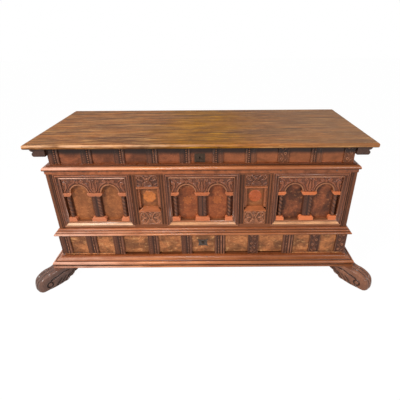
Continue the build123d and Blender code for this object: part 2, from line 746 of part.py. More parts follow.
leaf_half = strap_width / 2 + knuckle_gap + leaf_knuckle
leaf_top = axis_z - knuckle_radius - leaf_top_gap
leaf = box(
    hinge_x - leaf_half, hinge_x + leaf_half, back, back + leaf_thick, leaf_top - leaf_height, leaf_top)
for x in (hinge_x - leaf_half, hinge_x + strap_width / 2 + knuckle_gap):
    leaf += box(x, x + leaf_knuckle, back, back + leaf_thick, leaf_top, axis_z)
    leaf += knuckle(x, leaf_knuckle)
pieces["hinge_leaves"] = pair(leaf - hinge_bore)
pin = Pos(hinge_x, axis_y, axis_z) * Rot(0, 90, 0) * Cylinder(pin_radius, 2 * leaf_half)
for x in (hinge_x - leaf_half - pin_head_length / 2, hinge_x + leaf_half + pin_head_length / 2):
    pin += Pos(x, axis_y, axis_z) * Rot(0, 90, 0) * extrude(
        RegularPolygon(pin_radius + pin_head_lip, pin_head_sides), pin_head_length / 2, both=True)
pieces["hinge_pins"] = pair(pin)

# ------------------------------------------------------------------ chest lock
staple_bottom = z_lid - staple_drop
eye_z = staple_bottom + eye_rise
staple = box(
    lock_x - staple_plate_length / 2, lock_x + staple_plate_length / 2,
    staple_y - lock_case_depth / 2, staple_y + lock_case_depth / 2, z_lid, z_lid + staple_plate_thick)
staple += box(
    lock_x - staple_thick / 2, lock_x + staple_thick / 2,
    staple_y - staple_width / 2, staple_y + staple_width / 2, staple_bottom, z_lid)
staple -= box(
    lock_x - staple_thick, lock_x + staple_thick,
    staple_y - eye_width / 2, staple_y + eye_width / 2, eye_z, eye_z + eye_height)
pieces["lock_staple"] = [staple]

bolt_end = lock_x - staple_thick / 2 - bolt_rest_gap
bolt_z0 = eye_z + bolt_drop
bolt_z1 = eye_z + eye_height - bolt_drop
bolt_y0 = staple_y - eye_width / 2 + bolt_slack
bolt_y1 = staple_y + eye_width / 2 - bolt_slack
lock_case = box(
    lock_x - lock_case_width / 2, lock_x + lock_case_width / 2, lock_y, board_back, lock_z, z_top - slack)
lock_case -= box(
    lock_x - staple_thick / 2 - staple_slot_gap, lock_x + staple_thick / 2 + staple_slot_gap,
    staple_y - staple_width / 2 - staple_slot_slack, staple_y + staple_width / 2 + staple_slot_slack,
    staple_bottom - staple_slot_drop, z_top)
lock_case -= box(
    bolt_end - bolt_length - channel_end_gap, bolt_end + bolt_travel + channel_end_gap,
    bolt_y0 - channel_slack, bolt_y1 + channel_slack, bolt_z0 - channel_slack, bolt_z1 + channel_slack)
lock_case -= keyhole(lock_x, lock_key_z, lock_y, staple_y - staple_width / 2)
pieces["chest_lock_case"] = [lock_case]
pieces["chest_bolt"] = [box(bolt_end - bolt_length, bolt_end, bolt_y0, bolt_y1, bolt_z0, bolt_z1)]

lid_plate = box(
    lock_x - lid_plate_width / 2, lock_x + lid_plate_width / 2,
    board_front - plate_thick, board_front, lid_plate_z, lid_plate_z + lid_plate_height)
pieces["chest_escutcheon"] = [
    lid_plate - keyhole(lock_x, lock_key_z, board_front - plate_thick, board_front)]

# ------------------------------------------------------------------ drawer
front_z0 = z_band + drawer_foot_gap
front_z1 = z_chest - drawer_gap
lap_y = drawer_back_face - drawer_lap
side_outer = drawer_half_width
side_inner = side_outer - drawer_side_thick
side_z0 = runner_top + runner_gap
side_z1 = front_z1 - drawer_side_drop
drawer_back_y = well_back - drawer_back_gap
groove_z = side_z0 + drawer_bottom_rise
drawer_front = box(-drawer_half_width, drawer_half_width, -band_face, drawer_back_face, front_z0, front_z1)

tail_pitch = (side_z1 - side_z0) / dovetail_count
tail_half = tail_pitch * dovetail_share
tail_shape = []
for k in range(dovetail_count):
    middle = side_z0 + tail_pitch * (k + 0.5)
    tail_shape.append(polygon(
        (drawer_back_face, middle - tail_half + dovetail_flare / 2),
        (lap_y, middle - tail_half - dovetail_flare / 2),
        (lap_y, middle + tail_half + dovetail_flare / 2),
        (drawer_back_face, middle + tail_half - dovetail_flare / 2)))
tails = [extrude(Plane.YZ.offset(side_inner) * shape, drawer_side_thick) for shape in tail_shape]
side_board = box(side_inner, side_outer, drawer_back_face, drawer_back_y, side_z0, side_z1)
for tail in tails:
    side_board += tail & box(side_inner, side_outer, lap_y, drawer_back_face, front_z0, side_z1)
    for socket in pair(tail):
        drawer_front -= socket
side_board -= box(
    side_inner, side_inner + drawer_groove_depth, drawer_back_face, drawer_back_y,
    groove_z - slack, groove_z + drawer_bottom_thick + slack)
pieces["drawer_sides"] = pair(side_board)

front_groove = box(
    -side_inner + slack, side_inner - slack, drawer_back_face - drawer_groove_depth, drawer_back_face,
    groove_z - slack, groove_z + drawer_bottom_thick + slack)
till_pocket = box(
    till_x - till_case_width / 2 - slack, till_x + till_case_width / 2 + slack,
    drawer_back_face - till_case_depth, drawer_back_face, front_z1 - till_case_height - slack, front_z1)
drawer_front = drawer_front - front_groove - till_pocket
star_z = front_z1 - star_drop
key_z = star_z + star_keyhole_rise
drawer_front -= keyhole(till_x, key_z, -band_face, drawer_back_face)
pieces["drawer_front"] = [drawer_front]

drawer_blocks = []
for x in (band_block_pitch / 2, band_block_pitch * 1.5, drawer_half_width - band_block_width / 2):
    drawer_blocks += pair(fluted_block(
        x, block_face, band_block_width, z_band + block_foot_gap, front_z1, -band_face))
pieces["drawer_blocks"] = drawer_blocks

pieces["drawer_back"] = [
    box(-side_inner, side_inner, drawer_back_y - drawer_side_thick, drawer_back_y,
        groove_z + drawer_bottom_thick + slack, side_z1)]
pieces["drawer_bottom"] = [
    box(-side_inner - drawer_groove_depth + slack, side_inner + drawer_groove_depth - slack,
        drawer_back_face, drawer_back_y - slack, groove_z, groove_z + drawer_bottom_thick)]

arm = star_width / 2
tall = star_height / 2
quarter = [(1, 0), star_waist, star_point]
corners = quarter + [(0, 1)]
corners += [(-u, v) for u, v in reversed(quarter)]
corners += [(-u, -v) for u, v in quarter[1:]] + [(0, -1)]
corners += [(u, -v) for u, v in reversed(quarter[1:])]
star = polygon(*[(arm * u, tall * v) for u, v in corners])
star_plane = Plane(origin=(star_x, -band_face, star_z), x_dir=(1, 0, 0), z_dir=(0, -1, 0))
star_plate = extrude(star_plane * star, plate_thick)
pieces["drawer_escutcheon"] = [star_plate - keyhole(till_x, key_z, -band_face - plate_thick, -band_face)]

till_case = box(
    till_x - till_case_width / 2, till_x + till_case_width / 2, drawer_back_face - till_case_depth,
    drawer_back_face, front_z1 - till_case_height, front_z1 - slack)
till_bolt_z0 = front_z1 - till_bolt_length - till_bolt_rest_gap
bolt_channel = box(
    till_x - till_bolt_width / 2 - channel_slack, till_x + till_bolt_width / 2 + channel_slack,
    till_bolt_y - till_bolt_thick / 2 - channel_slack, till_bolt_y + till_bolt_thick / 2 + channel_slack,
    till_bolt_z0 - channel_end_gap, front_z1)
pieces["drawer_lock_case"] = [till_case - bolt_channel]
pieces["drawer_bolt"] = [
    box(till_x - till_bolt_width / 2, till_x + till_bolt_width / 2,
        till_bolt_y - till_bolt_thick / 2, till_bolt_y + till_bolt_thick / 2,
        till_bolt_z0, front_z1 - till_bolt_rest_gap)]

# ------------------------------------------------------------------ shift and write
front_end = min(piece.bounding_box().min.Y for piece in pieces["foot_front_right"])
back_end = back + lid_back_overhang
shift_y = -(front_end + back_end) / 2
shift = Pos(0, shift_y, 0)
for name, solids in pieces.items():
    placed = [shift * solid for solid in solids]
    shape = placed[0] if len(placed) == 1 else Compound(children=placed)
    export_step(shape, "parts/" + name + ".step")
print("nodes", len(pieces), "hinge axis y", axis_y + shift_y, "z", axis_z)
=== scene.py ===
import inspect
import math

import bmesh
import bpy
import numpy as np
from mathutils import Matrix, Vector
from mathutils.bvhtree import BVHTree


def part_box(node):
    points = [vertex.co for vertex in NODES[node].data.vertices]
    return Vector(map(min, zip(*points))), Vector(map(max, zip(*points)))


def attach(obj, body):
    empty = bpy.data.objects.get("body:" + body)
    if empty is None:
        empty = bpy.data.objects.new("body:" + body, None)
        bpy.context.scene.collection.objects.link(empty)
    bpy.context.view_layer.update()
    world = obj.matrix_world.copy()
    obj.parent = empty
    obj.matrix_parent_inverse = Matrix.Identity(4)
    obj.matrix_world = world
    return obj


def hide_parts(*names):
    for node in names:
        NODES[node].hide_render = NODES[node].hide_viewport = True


bl_info = {
    "name": "Cassone",
    "version": (1, 0, 0),
    "blender": (4, 5, 0),
    "location": "3D View > Sidebar > Cassone",
    "description": "Dresses a walnut cassone: figured veneers, carving, inlay, ironwork and its studio",
    "category": "Add Mesh",
}

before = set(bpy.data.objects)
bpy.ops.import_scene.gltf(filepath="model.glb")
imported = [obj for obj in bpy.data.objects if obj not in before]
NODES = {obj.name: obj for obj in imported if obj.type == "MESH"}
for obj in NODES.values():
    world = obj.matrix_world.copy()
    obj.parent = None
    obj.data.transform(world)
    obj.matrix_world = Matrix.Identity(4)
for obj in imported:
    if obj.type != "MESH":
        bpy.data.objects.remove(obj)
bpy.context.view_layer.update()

MM = 0.001
TINY = 1e-6
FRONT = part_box("corner_stiles")[0].y
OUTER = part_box("corner_stiles")[1].x
LID_LOW, LID_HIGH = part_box("lid_board")

# Tones down each moulding: a place in mm and a tone, from 0 for painted shade with old wax in the quirks to
# 1 for a painted highlight, rubbed and pale, on the crowns.
CORNICE_STOPS = (
    (0, 0.50), (4, 0.55), (8, 0.80), (12, 1.0), (17, 0.90), (20, 0.60), (24, 0.35), (26.5, 0.05),
    (31, 0.06), (34, 0.31), (40, 0.38), (44, 0.37), (46, 0.18),
)
BELT_STOPS = (
    (0, 0.42), (4, 0.60), (10, 0.74), (17, 0.74), (20, 0.55), (21.5, 0.38), (23, 0.48), (28, 0.66),
    (34, 0.88), (39, 0.84), (42.5, 0.58), (45, 0.74), (54, 0.90), (60, 1.0), (63, 0.62),
)
BASE_STOPS = (
    (20, 0.40), (24, 0.54), (35, 0.70), (43, 0.94), (51, 1.0), (57, 0.84), (63, 0.52), (67, 0.32),
    (71, 0.55), (76, 1.0), (86, 1.0), (91, 0.90), (95, 0.84), (98, 0.76), (101, 0.82), (105, 0.92),
    (113, 1.0), (120, 0.80),
)
# The same tones across the panel frames and their lower members: painted shade in the quirks, painted
# highlights on the beads.
FRAME_STOPS = (
    (0, 0.38), (2, 0.50), (5, 0.50), (6.3, 0.28), (8, 0.36), (12, 0.64), (15, 0.58), (17, 0.28),
    (20, 0.52), (22.5, 0.52), (24.5, 0.95), (28, 1.0), (30, 0.70), (31.5, 0.12),
)
SILL_STOPS = (
    (0, 0.15), (1.5, 0.56), (5, 0.80), (9, 0.88), (13, 0.94), (16, 0.96), (19, 0.96), (22, 0.66),
    (24, 0.42), (28, 0.38), (30, 0.34), (31.5, 0.18),
)
FRAME_REACH = 32.0

# Layers of streaks on the lid: scale along and across, shift, noise from and to, amount, colour.
LID_STREAKS = (
    (1.8, 22.0, 1.0, 0.50, 0.64, 0.50, (0.050, 0.018, 0.006)),
    (2.3, 54.0, 5.0, 0.51, 0.62, 0.62, (0.045, 0.014, 0.005)),
    (2.0, 46.0, 9.0, 0.52, 0.64, 0.42, (0.64, 0.30, 0.10)),
    (5.0, 86.0, 13.0, 0.54, 0.65, 0.52, (0.76, 0.40, 0.14)),
    (6.5, 112.0, 17.0, 0.53, 0.63, 0.58, (0.040, 0.013, 0.005)),
    (13.0, 130.0, 29.0, 0.50, 0.64, 0.36, (0.050, 0.016, 0.006)),
    (11.0, 96.0, 33.0, 0.54, 0.66, 0.36, (0.70, 0.36, 0.13)),
    (70.0, 70.0, 21.0, 0.52, 0.70, 0.30, (0.055, 0.020, 0.008)),
)
LID_SEAMS = (-0.035, 0.215)
# Flakes and scratches on the low veneers: scales, shift, noise from and to, amount, colour.
SCUFFS = (
    ((26.0, 26.0, 44.0), 1.0, 0.54, 0.66, 0.50, (0.90, 0.47, 0.19)),
    ((30.0, 30.0, 60.0), 5.0, 0.55, 0.66, 0.66, (0.075, 0.024, 0.012)),
    ((9.0, 9.0, 26.0), 9.0, 0.55, 0.70, 0.45, (0.17, 0.045, 0.018)),
)

ARCH_OFFSET = 82.5 * MM
ARCH_RING = 51.8 * MM
FLOWER_RADIUS, FLOWER_WAVE, FLOWER_LINE = 26.0 * MM, 3.5 * MM, 0.8 * MM
PORES = 0.45

# How strongly a finish shows its grain, its relief and its age.
GLOSS_SWING, GLOSS_MIDDLE = 0.16, 0.12
COAT_ROUGHNESS = 0.2
GRAIN_BUMP, HAMMER_BUMP = 0.5 * MM, 0.8 * MM
WORN_GAIN, WORN_LIFT = 1.7, 0.02
RELIEF_LOW, RELIEF_HIGH = 0.05, 0.62
EDGE_REACH = 0.28
IRON_DARK, IRON_LIGHT = 0.55, 1.5
# The middle colour is grime with painted shade in the iron's hollows.
RUST, IRON_GRIME, IRON_WEAR = (0.060, 0.025, 0.013), (0.012, 0.009, 0.008), (0.17, 0.15, 0.14)

# Colours that the tones lay over a timber by place: several are painted highlights, sheen, light and shade,
# as noted by each.
LID_RAW, LID_PATCH = (0.085, 0.034, 0.014), (0.060, 0.021, 0.007)
# The second of these is a painted sheen on the lid's right.
LID_SUN, LID_HAZE = (0.94, 0.84, 0.02), (0.62, 0.33, 0.16)
# Painted highlight and painted shade for the left and right of the lid's front lip.
LIP_LEFT, LIP_RIGHT = (0.76, 0.45, 0.26), (0.30, 0.110, 0.040)
# Painted highlights on the moulding crowns, left and right, and painted shade towards the right.
MOULDING_PALE, MOULDING_RED, MOULDING_DULL = (0.70, 0.38, 0.27), (0.80, 0.315, 0.125), (0.10, 0.030, 0.012)
# Painted highlights on the frames' crowns, then painted light on the lower members, and painted shade on
# the uprights.
RAIL_RIGHT, RAIL_LEFT = (0.66, 0.29, 0.15), (0.88, 0.50, 0.36)
SILL_RIGHT, SILL_LEFT, SILL_WOOD = (0.84, 0.42, 0.20), (0.95, 0.60, 0.38), (0.70, 0.27, 0.10)
UPRIGHT_SHADE = (0.070, 0.022, 0.010)
# Painted highlight on the archivolts, and painted light and painted shade on the scroll blocks.
ARCH_RUB, SCROLL_RUB, SCROLL_SMOKE = (0.55, 0.25, 0.13), (0.66, 0.27, 0.12), (0.050, 0.016, 0.008)
FLECK_DARK, FLECK_PALE = (0.075, 0.024, 0.010), (0.60, 0.24, 0.085)
PETAL, PETAL_LINE = (0.50, 0.135, 0.030), (0.06, 0.016, 0.008)
# Painted light on the right of the frieze.
FRIEZE_GLOW = (0.62, 0.20, 0.06)


# ---------------------------------------------------------------- settings


def colour_setting(name, description, value):
    return bpy.props.FloatVectorProperty(
        name=name, description=description, subtype="COLOR", min=0.0, max=1.0, default=value
    )


def length_setting(name, description, value):
    return bpy.props.FloatProperty(
        name=name, description=description, unit="LENGTH", min=0.0, default=value
    )


class CassoneSizes(bpy.types.PropertyGroup):
    """Sizes of the carving and the fittings."""

    step: length_setting("Carving step", "Distance between points across a carved face", 1.7 * MM)
    edge: length_setting("Edge rounding", "How far handled edges are worn round", 0.9 * MM)
    block_relief: length_setting("Block relief", "Depth of the carving on the upright blocks", 4.0 * MM)
    spandrel_relief: length_setting("Spandrel relief", "Height of the leaves round the arches", 4.6 * MM)
    narrow_relief: length_setting("Scroll relief", "Depth of the scrolls on the narrow blocks", 5.5 * MM)
    column_relief: length_setting("Column relief", "Depth of the carving on the columns", 3.0 * MM)
    nail_radius: length_setting("Nail radius", "Radius of a forged nail head", 3.2 * MM)
    nail_rise: length_setting("Nail rise", "Height of a forged nail head", 1.5 * MM)
    bead_radius: length_setting("Bead radius", "Radius of the beads down the blocks", 4.6 * MM)
    bead_pitch: length_setting("Bead pitch", "Distance from bead to bead", 10.0 * MM)


class CassoneFinish(bpy.types.PropertyGroup):
    """Colours and polish of the timbers and the iron."""

    lid_light: colour_setting("Lid, light", "Light grain of the lid", (0.49, 0.170, 0.034))
    lid_dark: colour_setting("Lid, dark", "Dark grain of the lid", (0.125, 0.034, 0.006))
    lid_gold: colour_setting("Lid, golden", "Bleached middle of the lid", (0.27, 0.115, 0.004))
    walnut_light: colour_setting("Walnut, light", "Light grain of the frame timber", (0.31, 0.100, 0.036))
    walnut_dark: colour_setting("Walnut, dark", "Dark grain of the frame timber", (0.105, 0.030, 0.011))
    carved_light: colour_setting("Carving, light", "Rubbed heights of the blocks", (0.185, 0.062, 0.029))
    carved_dark: colour_setting("Carving, dark", "Stained ground of the blocks", (0.058, 0.019, 0.010))
    gold_light: colour_setting("Golden burl, light", "Light figure of golden fields", (0.38, 0.128, 0.040))
    gold_dark: colour_setting("Golden burl, dark", "Dark figure of golden fields", (0.20, 0.058, 0.018))
    fruit_light: colour_setting("Fruitwood, light", "Light grain of the capitals", (0.56, 0.160, 0.058))
    fruit_dark: colour_setting("Fruitwood, dark", "Dark grain of the capitals", (0.34, 0.085, 0.030))
    lining_light: colour_setting("Lining, light", "Light grain of the inner boards", (0.42, 0.26, 0.135))
    lining_dark: colour_setting("Lining, dark", "Dark grain of the inner boards", (0.20, 0.105, 0.050))
    # Old wax and dust in the recesses; the tones also lay this colour as painted shade in quirks and
    # grooves and as the painted shadow under the lid.
    grime: colour_setting("Old wax", "Wax and dust left in the recesses", (0.022, 0.012, 0.009))
    iron: colour_setting("Iron", "Blackened wrought iron", (0.062, 0.041, 0.028))
    polish: bpy.props.FloatProperty(
        name="Polish", description="Strength of the wax coat", subtype="FACTOR", min=0.0, max=1.0,
        default=0.15,
    )


def sizes():
    return bpy.context.scene.cassone_sizes


def finish():
    return bpy.context.scene.cassone_finish


# ---------------------------------------------------------------- node helpers


class Flow:
    """A value on its way through a node tree. Arithmetic on it adds the nodes that do it."""

    def __init__(self, tree, socket):
        self.tree, self.socket = tree, socket

    def math(self, operation, *others, clamp=False):
        sockets = dict(enumerate((self, *others)))
        return wire(self.tree, "ShaderNodeMath", sockets, operation=operation, use_clamp=clamp)

    def __add__(self, other):
        return self.math("ADD", other)

    def __sub__(self, other):
        return self.math("SUBTRACT", other)

    def __rsub__(self, other):
        return wire(self.tree, "ShaderNodeMath", {0: other, 1: self}, operation="SUBTRACT")

    def __mul__(self, other):
        return self.math("MULTIPLY", other)

    def __truediv__(self, other):
        return self.math("DIVIDE", other)

    def __abs__(self):
        return self.math("ABSOLUTE")

    def clamped(self):
        return self.math("ADD", 0.0, clamp=True)

    def spread(self, low, high, start=0.0, end=1.0):
        """Start at the low value to end at the high one, eased between."""
        sockets = {0: self, 1: low, 2: high, 3: start, 4: end}
        return wire(self.tree, "ShaderNodeMapRange", sockets, interpolation_type="SMOOTHSTEP")

    def moved(self, amounts):
        return wire(self.tree, "ShaderNodeVectorMath", {0: self, 1: amounts}, operation="ADD")

    def scaled(self, amounts):
        return wire(self.tree, "ShaderNodeVectorMath", {0: self, 1: amounts}, operation="MULTIPLY")

    def axes(self):
        return flows(self.tree, put(self.tree, "ShaderNodeSeparateXYZ", {0: self}))

    def noise(self, scales, detail=3.0, rough=0.55, warp=0.0):
        """Noise at this place, with one scale or a scale for each axis."""
        place, scale = (self.scaled(scales), 1.0) if isinstance(scales, tuple) else (self, scales)
        sockets = {"Vector": place, "Scale": scale, "Detail": detail, "Roughness": rough}
        sockets["Distortion"] = warp
        return wire(self.tree, "ShaderNodeTexNoise", sockets)

    def cells(self, scale):
        return wire(self.tree, "ShaderNodeTexVoronoi", {"Vector": self, "Scale": scale})

    def between(self, first, second, mode="MIX"):
        """The colour this share of the way from the first to the second."""
        return blend(self.tree, self, first, second, mode)

    def tinted(self, share, shade, mode="MIX"):
        """This colour with a share of another."""
        return blend(self.tree, share, self, shade, mode)

    def place(self):
        return object_place(self.tree)


def put(tree, kind, sockets=None, **settings):
    """Adds a node. A socket's value is a number, a colour, a vector, another socket or a flow."""
    made = tree.nodes.new(kind)
    for name, value in settings.items():
        setattr(made, name, value)
    for key, value in (sockets or {}).items():
        socket = made.inputs[key]
        if isinstance(value, (Flow, bpy.types.NodeSocket)):
            tree.links.new(getattr(value, "socket", value), socket)
        else:
            socket.default_value = (*value, 1.0)[:4] if socket.type == "RGBA" else value
    return made


def wire(tree, kind, sockets=None, out=0, **settings):
    """Adds a node and gives the flow out of it."""
    return Flow(tree, put(tree, kind, sockets, **settings).outputs[out])


def flows(tree, node):
    return [Flow(tree, socket) for socket in node.outputs]


def blend(tree, share, first, second, mode="MIX"):
    inputs = {0: share, 6: first, 7: second}
    return wire(tree, "ShaderNodeMix", inputs, 2, data_type="RGBA", blend_type=mode)


def vector_of(first, second, third, tree=None):
    tree = tree or first.tree
    return wire(tree, "ShaderNodeCombineXYZ", {0: first, 1: second, 2: third})


def object_place(tree):
    return wire(tree, "ShaderNodeTexCoord", out="Object")


SOCKET_KINDS = {
    "NodeSocketVector": ("vector",),
    "NodeSocketColor": ("colour", "light", "dark", "grime", "wear"),
}


def add_sockets(group, direction, labels):
    for label in labels:
        kind = next((kind for kind, names in SOCKET_KINDS.items() if label in names), "NodeSocketFloat")
        group.interface.new_socket(label, in_out=direction, socket_type=kind)


def grouped(*results):
    """Makes a function on flows into a shader group, which is built at its first use."""

    def wrap(work):
        name, inputs = work.__name__.replace("_", " "), list(inspect.signature(work).parameters)

        def build():
            group = bpy.data.node_groups.new(name, "ShaderNodeTree")
            add_sockets(group, "INPUT", inputs)
            add_sockets(group, "OUTPUT", results)
            given = put(group, "NodeGroupInput")
            made = work(*(Flow(group, given.outputs[label]) for label in inputs))
            put(group, "NodeGroupOutput", dict(zip(results, made)))
            return group

        def use(tree, **values):
            group = bpy.data.node_groups.get(name) or build()
            return flows(tree, put(tree, "ShaderNodeGroup", values, node_tree=group))

        return use

    return wrap


# ---------------------------------------------------------------- timber and iron


@grouped("colour", "height", "gloss")
def plank_grain(vector, light, dark, figure, pores, patches):
    """Grain of a sawn board, running along the X of the vector it is given."""
    sway = vector.noise((3.0, 9.0, 9.0), 2.0) * figure
    bent = vector.scaled((1.7, 34.0, 34.0)).moved(vector_of(0.0, sway, sway, sway.tree))
    broad = bent.noise(1.0, 4.0, 0.6)
    lines = (broad * 7.0).math("PINGPONG", 1.0)
    fine = vector.noise((6.0, 190.0, 190.0), 3.0, 0.65)
    pits = vector.noise((60.0, 900.0, 900.0), 2.0, 0.5).spread(0.34, 0.44)
    patch = vector.noise((2.4, 11.0, 11.0), 4.0, 0.6)
    tone = broad.spread(0.34, 0.66) * 0.46 + lines * 0.12 + fine.spread(0.30, 0.70) * 0.42
    wood = dark.tinted(tone, light)
    wood = wood.tinted(1.0, (patch - 0.5) * patches + 1.0, "MULTIPLY")
    wood = wood.tinted(1.0, 1.0 - (1.0 - pits) * pores, "MULTIPLY")
    return wood, pits * 0.6 + fine * 0.5, patch * 0.5 + fine * 0.5


@grouped("colour", "height", "gloss")
def burl_figure(vector, light, dark, clouds, grain):
    """Veneer with a swirling figure, dark clouds and small eyes."""
    drift = wire(vector.tree, "ShaderNodeTexNoise", {"Vector": vector, "Scale": 9.0, "Detail": 3.0}, 1)
    swept = vector.moved(drift.scaled((0.09, 0.09, 0.09)))
    swirl = swept.noise((16.0, 30.0, 30.0), 5.0, 0.62, 0.8)
    flame = (swirl * 5.0).math("PINGPONG", 1.0)
    cloud = swept.noise((9.0, 14.0, 14.0), 3.0, 0.55)
    speck = vector.noise((120.0, 420.0, 420.0), 2.0)
    tone = swirl.spread(0.25, 0.75) * 0.38 + flame * 0.14 + speck.spread(0.3, 0.7) * grain
    shadow = cloud.spread(0.62, 0.36) * clouds + swept.cells(95.0).spread(0.22, 0.06) * 0.18
    wood = dark.tinted(tone, light).tinted(1.0, (1.0 - shadow).clamped(), "MULTIPLY")
    return wood, speck * 0.5 + swirl, cloud


def closeness(reach, inside):
    """How open a point is to the surfaces round it, or how far a point inside is from an edge."""
    sockets = {"Distance": reach}
    return wire(
        reach.tree, "ShaderNodeAmbientOcclusion", sockets, "AO", samples=6, only_local=True, inside=inside
    )


@grouped("colour", "roughness", "height")
def age_and_wear(colour, vector, relief, height, grime, grime_amount, wear, wear_amount, reach, marks):
    """Wax and dust with painted shade in the recesses, rubbed edges with painted highlights on the tops of
    the carving, and a few knocks.
    """
    blotch = vector.noise(22.0, 4.0, 0.65)
    # Painted shade with dust: darker where the surface is closed in, and where the carving is cut deep.
    hollow = 1.0 - closeness(reach, False).spread(0.50, 0.99) * relief
    hollow = (hollow * (blotch * 0.7 + 0.62) * grime_amount).clamped()
    # Worn edges, and painted highlights on the tops of the carving.
    rubbed = closeness(reach * EDGE_REACH, True).spread(0.93, 0.45) + height.spread(0.66, 0.98)
    rubbed = (rubbed * blotch.spread(0.3, 0.62) * wear_amount).clamped()
    spots = vector.scaled((5.0, 9.0, 9.0)).cells(3.1).spread(0.11, 0.03) * marks
    worn = colour.tinted(rubbed, wear).tinted(hollow, grime).tinted(spots, grime)
    return worn, hollow * 0.4 + blotch * 0.16, blotch * 0.4


def either(share, first, second):
    """The second vector where the share is 1, or else the first."""
    return wire(share.tree, "ShaderNodeMix", {0: share, 4: first, 5: second}, 1, data_type="VECTOR")


@grouped("vector", "depth", "upright", "across", "low")
def mitred_grain(vector, spacing, half_width, half_height, centre_height):
    """Turns the grain at the mitres of three like frames that stand in a row."""
    x, y, z = vector.axes()
    away = abs(x)
    local = abs(away - away.math("GREATER_THAN", spacing * 0.5) * spacing)
    from_side = half_width - local
    from_top = half_height - abs(z - centre_height)
    upright = from_side.math("LESS_THAN", from_top)
    turned = either(upright, vector, vector_of(z, y, x))
    return turned, from_side.math("MINIMUM", from_top), upright, local, z.math("LESS_THAN", centre_height)


@grouped("vector", "out")
def returned_grain(vector, half_width, front):
    """Turns the grain of a moulding where it leaves the front and runs along an end."""
    x, y, z = vector.axes()
    beyond, before = abs(x) - half_width, front - y
    turned = either(beyond.math("GREATER_THAN", before), vector, vector_of(y, x, z))
    return turned, beyond.math("MAXIMUM", before)


def mitres(place, box, axis, spacing):
    """Grain and place in frames like the one in the box, whose width runs along the axis."""
    low, high = box
    return mitred_grain(
        place.tree,
        vector=place,
        spacing=spacing,
        half_width=(high[axis] - low[axis]) / 2,
        half_height=(high.z - low.z) / 2,
        centre_height=(high.z + low.z) / 2,
    )


def framed(place):
    """Where a point lies in the three panel frames of the front."""
    low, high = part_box("frame_left")
    return mitres(place, (low, high), 0, -(low.x + high.x) / 2)


def returned(place):
    return returned_grain(place.tree, vector=place, half_width=OUTER, front=FRONT)


def end_framed(place):
    low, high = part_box("end_frame_left")
    x, y, z = place.axes()
    far_apart = 9.0
    return mitres(vector_of(y - (low.y + high.y) / 2, x, z), (low, high), 1, far_apart)


def along(place, axis):
    """Object coordinates with the grain's axis brought to X."""
    turned = {"frames": framed, "end frames": end_framed, "returned": returned}.get(axis)
    if turned:
        return turned(place)[0]
    if axis == "X":
        return place
    x, y, z = place.axes()
    return vector_of(y, x, z) if axis == "Y" else vector_of(z, y, x)


def new_material(name):
    material = bpy.data.materials.new(name)
    material.use_nodes = True
    return material, material.node_tree, material.node_tree.nodes["Principled BSDF"]


def fill(tree, shader, **values):
    """Sets or links the named sockets of a shader."""
    for label, value in values.items():
        socket = shader.inputs[label.replace("_", " ")]
        if isinstance(value, Flow):
            tree.links.new(value.socket, socket)
        else:
            socket.default_value = value


def shaded(share, colour):
    return [share * c for c in colour]


def bumped(height, strength, distance):
    inputs = {"Height": height, "Strength": strength, "Distance": distance}
    return wire(height.tree, "ShaderNodeBump", inputs)


def timber(
    name, light, dark, axis="X", start=(0, 0, 0), figure=1.2, patches=0.7, burl=None, clouds=0.4,
    grime=0.75, wear=0.4, worn=None, reach=12 * MM, marks=0.35, rough=0.34, coat=None, carved=False,
    bump=0.35, shine=0.2, extra=None,
):
    """A waxed timber with grain, figure, grime with painted shade in its recesses, and wear with painted
    highlights. extra may tint the colour by place.
    """
    material, tree, shader = new_material(name)
    whole = object_place(tree)
    place = along(whole, axis).moved(start)
    if burl is None:
        wood = plank_grain(
            tree, vector=place, light=light, dark=dark, figure=figure, pores=PORES, patches=patches
        )
    else:
        wood = burl_figure(tree, vector=place, light=light, dark=dark, clouds=clouds, grain=burl)
    colour, height, gloss = wood
    if extra:
        colour = extra(colour)
    relief, raised = 1.0, 0.0
    if carved:
        raised = wire(tree, "ShaderNodeAttribute", out="Fac", attribute_name="relief")
        relief = raised.spread(RELIEF_LOW, RELIEF_HIGH)
    colour, dull, blotch = age_and_wear(
        tree, colour=colour, vector=whole, relief=relief, height=raised, grime=finish().grime,
        grime_amount=grime, wear=worn or [min(1.0, WORN_GAIN * c + WORN_LIFT) for c in light],
        wear_amount=wear, reach=reach, marks=marks,
    )
    fill(
        tree,
        shader,
        Base_Color=colour,
        Roughness=(gloss * GLOSS_SWING + (rough - GLOSS_MIDDLE) + dull).clamped(),
        Coat_Weight=finish().polish if coat is None else coat,
        Coat_Roughness=COAT_ROUGHNESS,
        Specular_IOR_Level=shine,
        Normal=bumped(height + blotch, bump, GRAIN_BUMP),
    )
    return material


def iron(name, bump=0.6):
    """Blackened iron with hammer marks, rust, grime with painted shade in the hollows, and rubbed edges."""
    material, tree, shader = new_material(name)
    place = object_place(tree)
    grit = place.noise(700.0, 3.0, 0.6)
    rust = place.noise(60.0, 5.0, 0.7).spread(0.48, 0.66)
    base = finish().iron
    colour = grit.between(shaded(IRON_DARK, base), shaded(IRON_LIGHT, base)).tinted(rust * 0.55, RUST)
    # Grime with painted shade in the hollows, and worn edges.
    colour, _, _ = age_and_wear(
        tree, colour=colour, vector=place, relief=1.0, height=0.0, grime=IRON_GRIME, grime_amount=0.6,
        wear=IRON_WEAR, wear_amount=0.6, reach=6 * MM, marks=0.0,
    )
    fill(
        tree,
        shader,
        Base_Color=colour,
        Metallic=0.92 - rust * 0.75,
        Roughness=rust * 0.3 + (grit * 0.2 + 0.36),
        Normal=bumped(grit * 0.25 + place.noise(130.0, 2.0, 0.4), bump, HAMMER_BUMP),
    )
    return material


# ---------------------------------------------------------------- tones by place


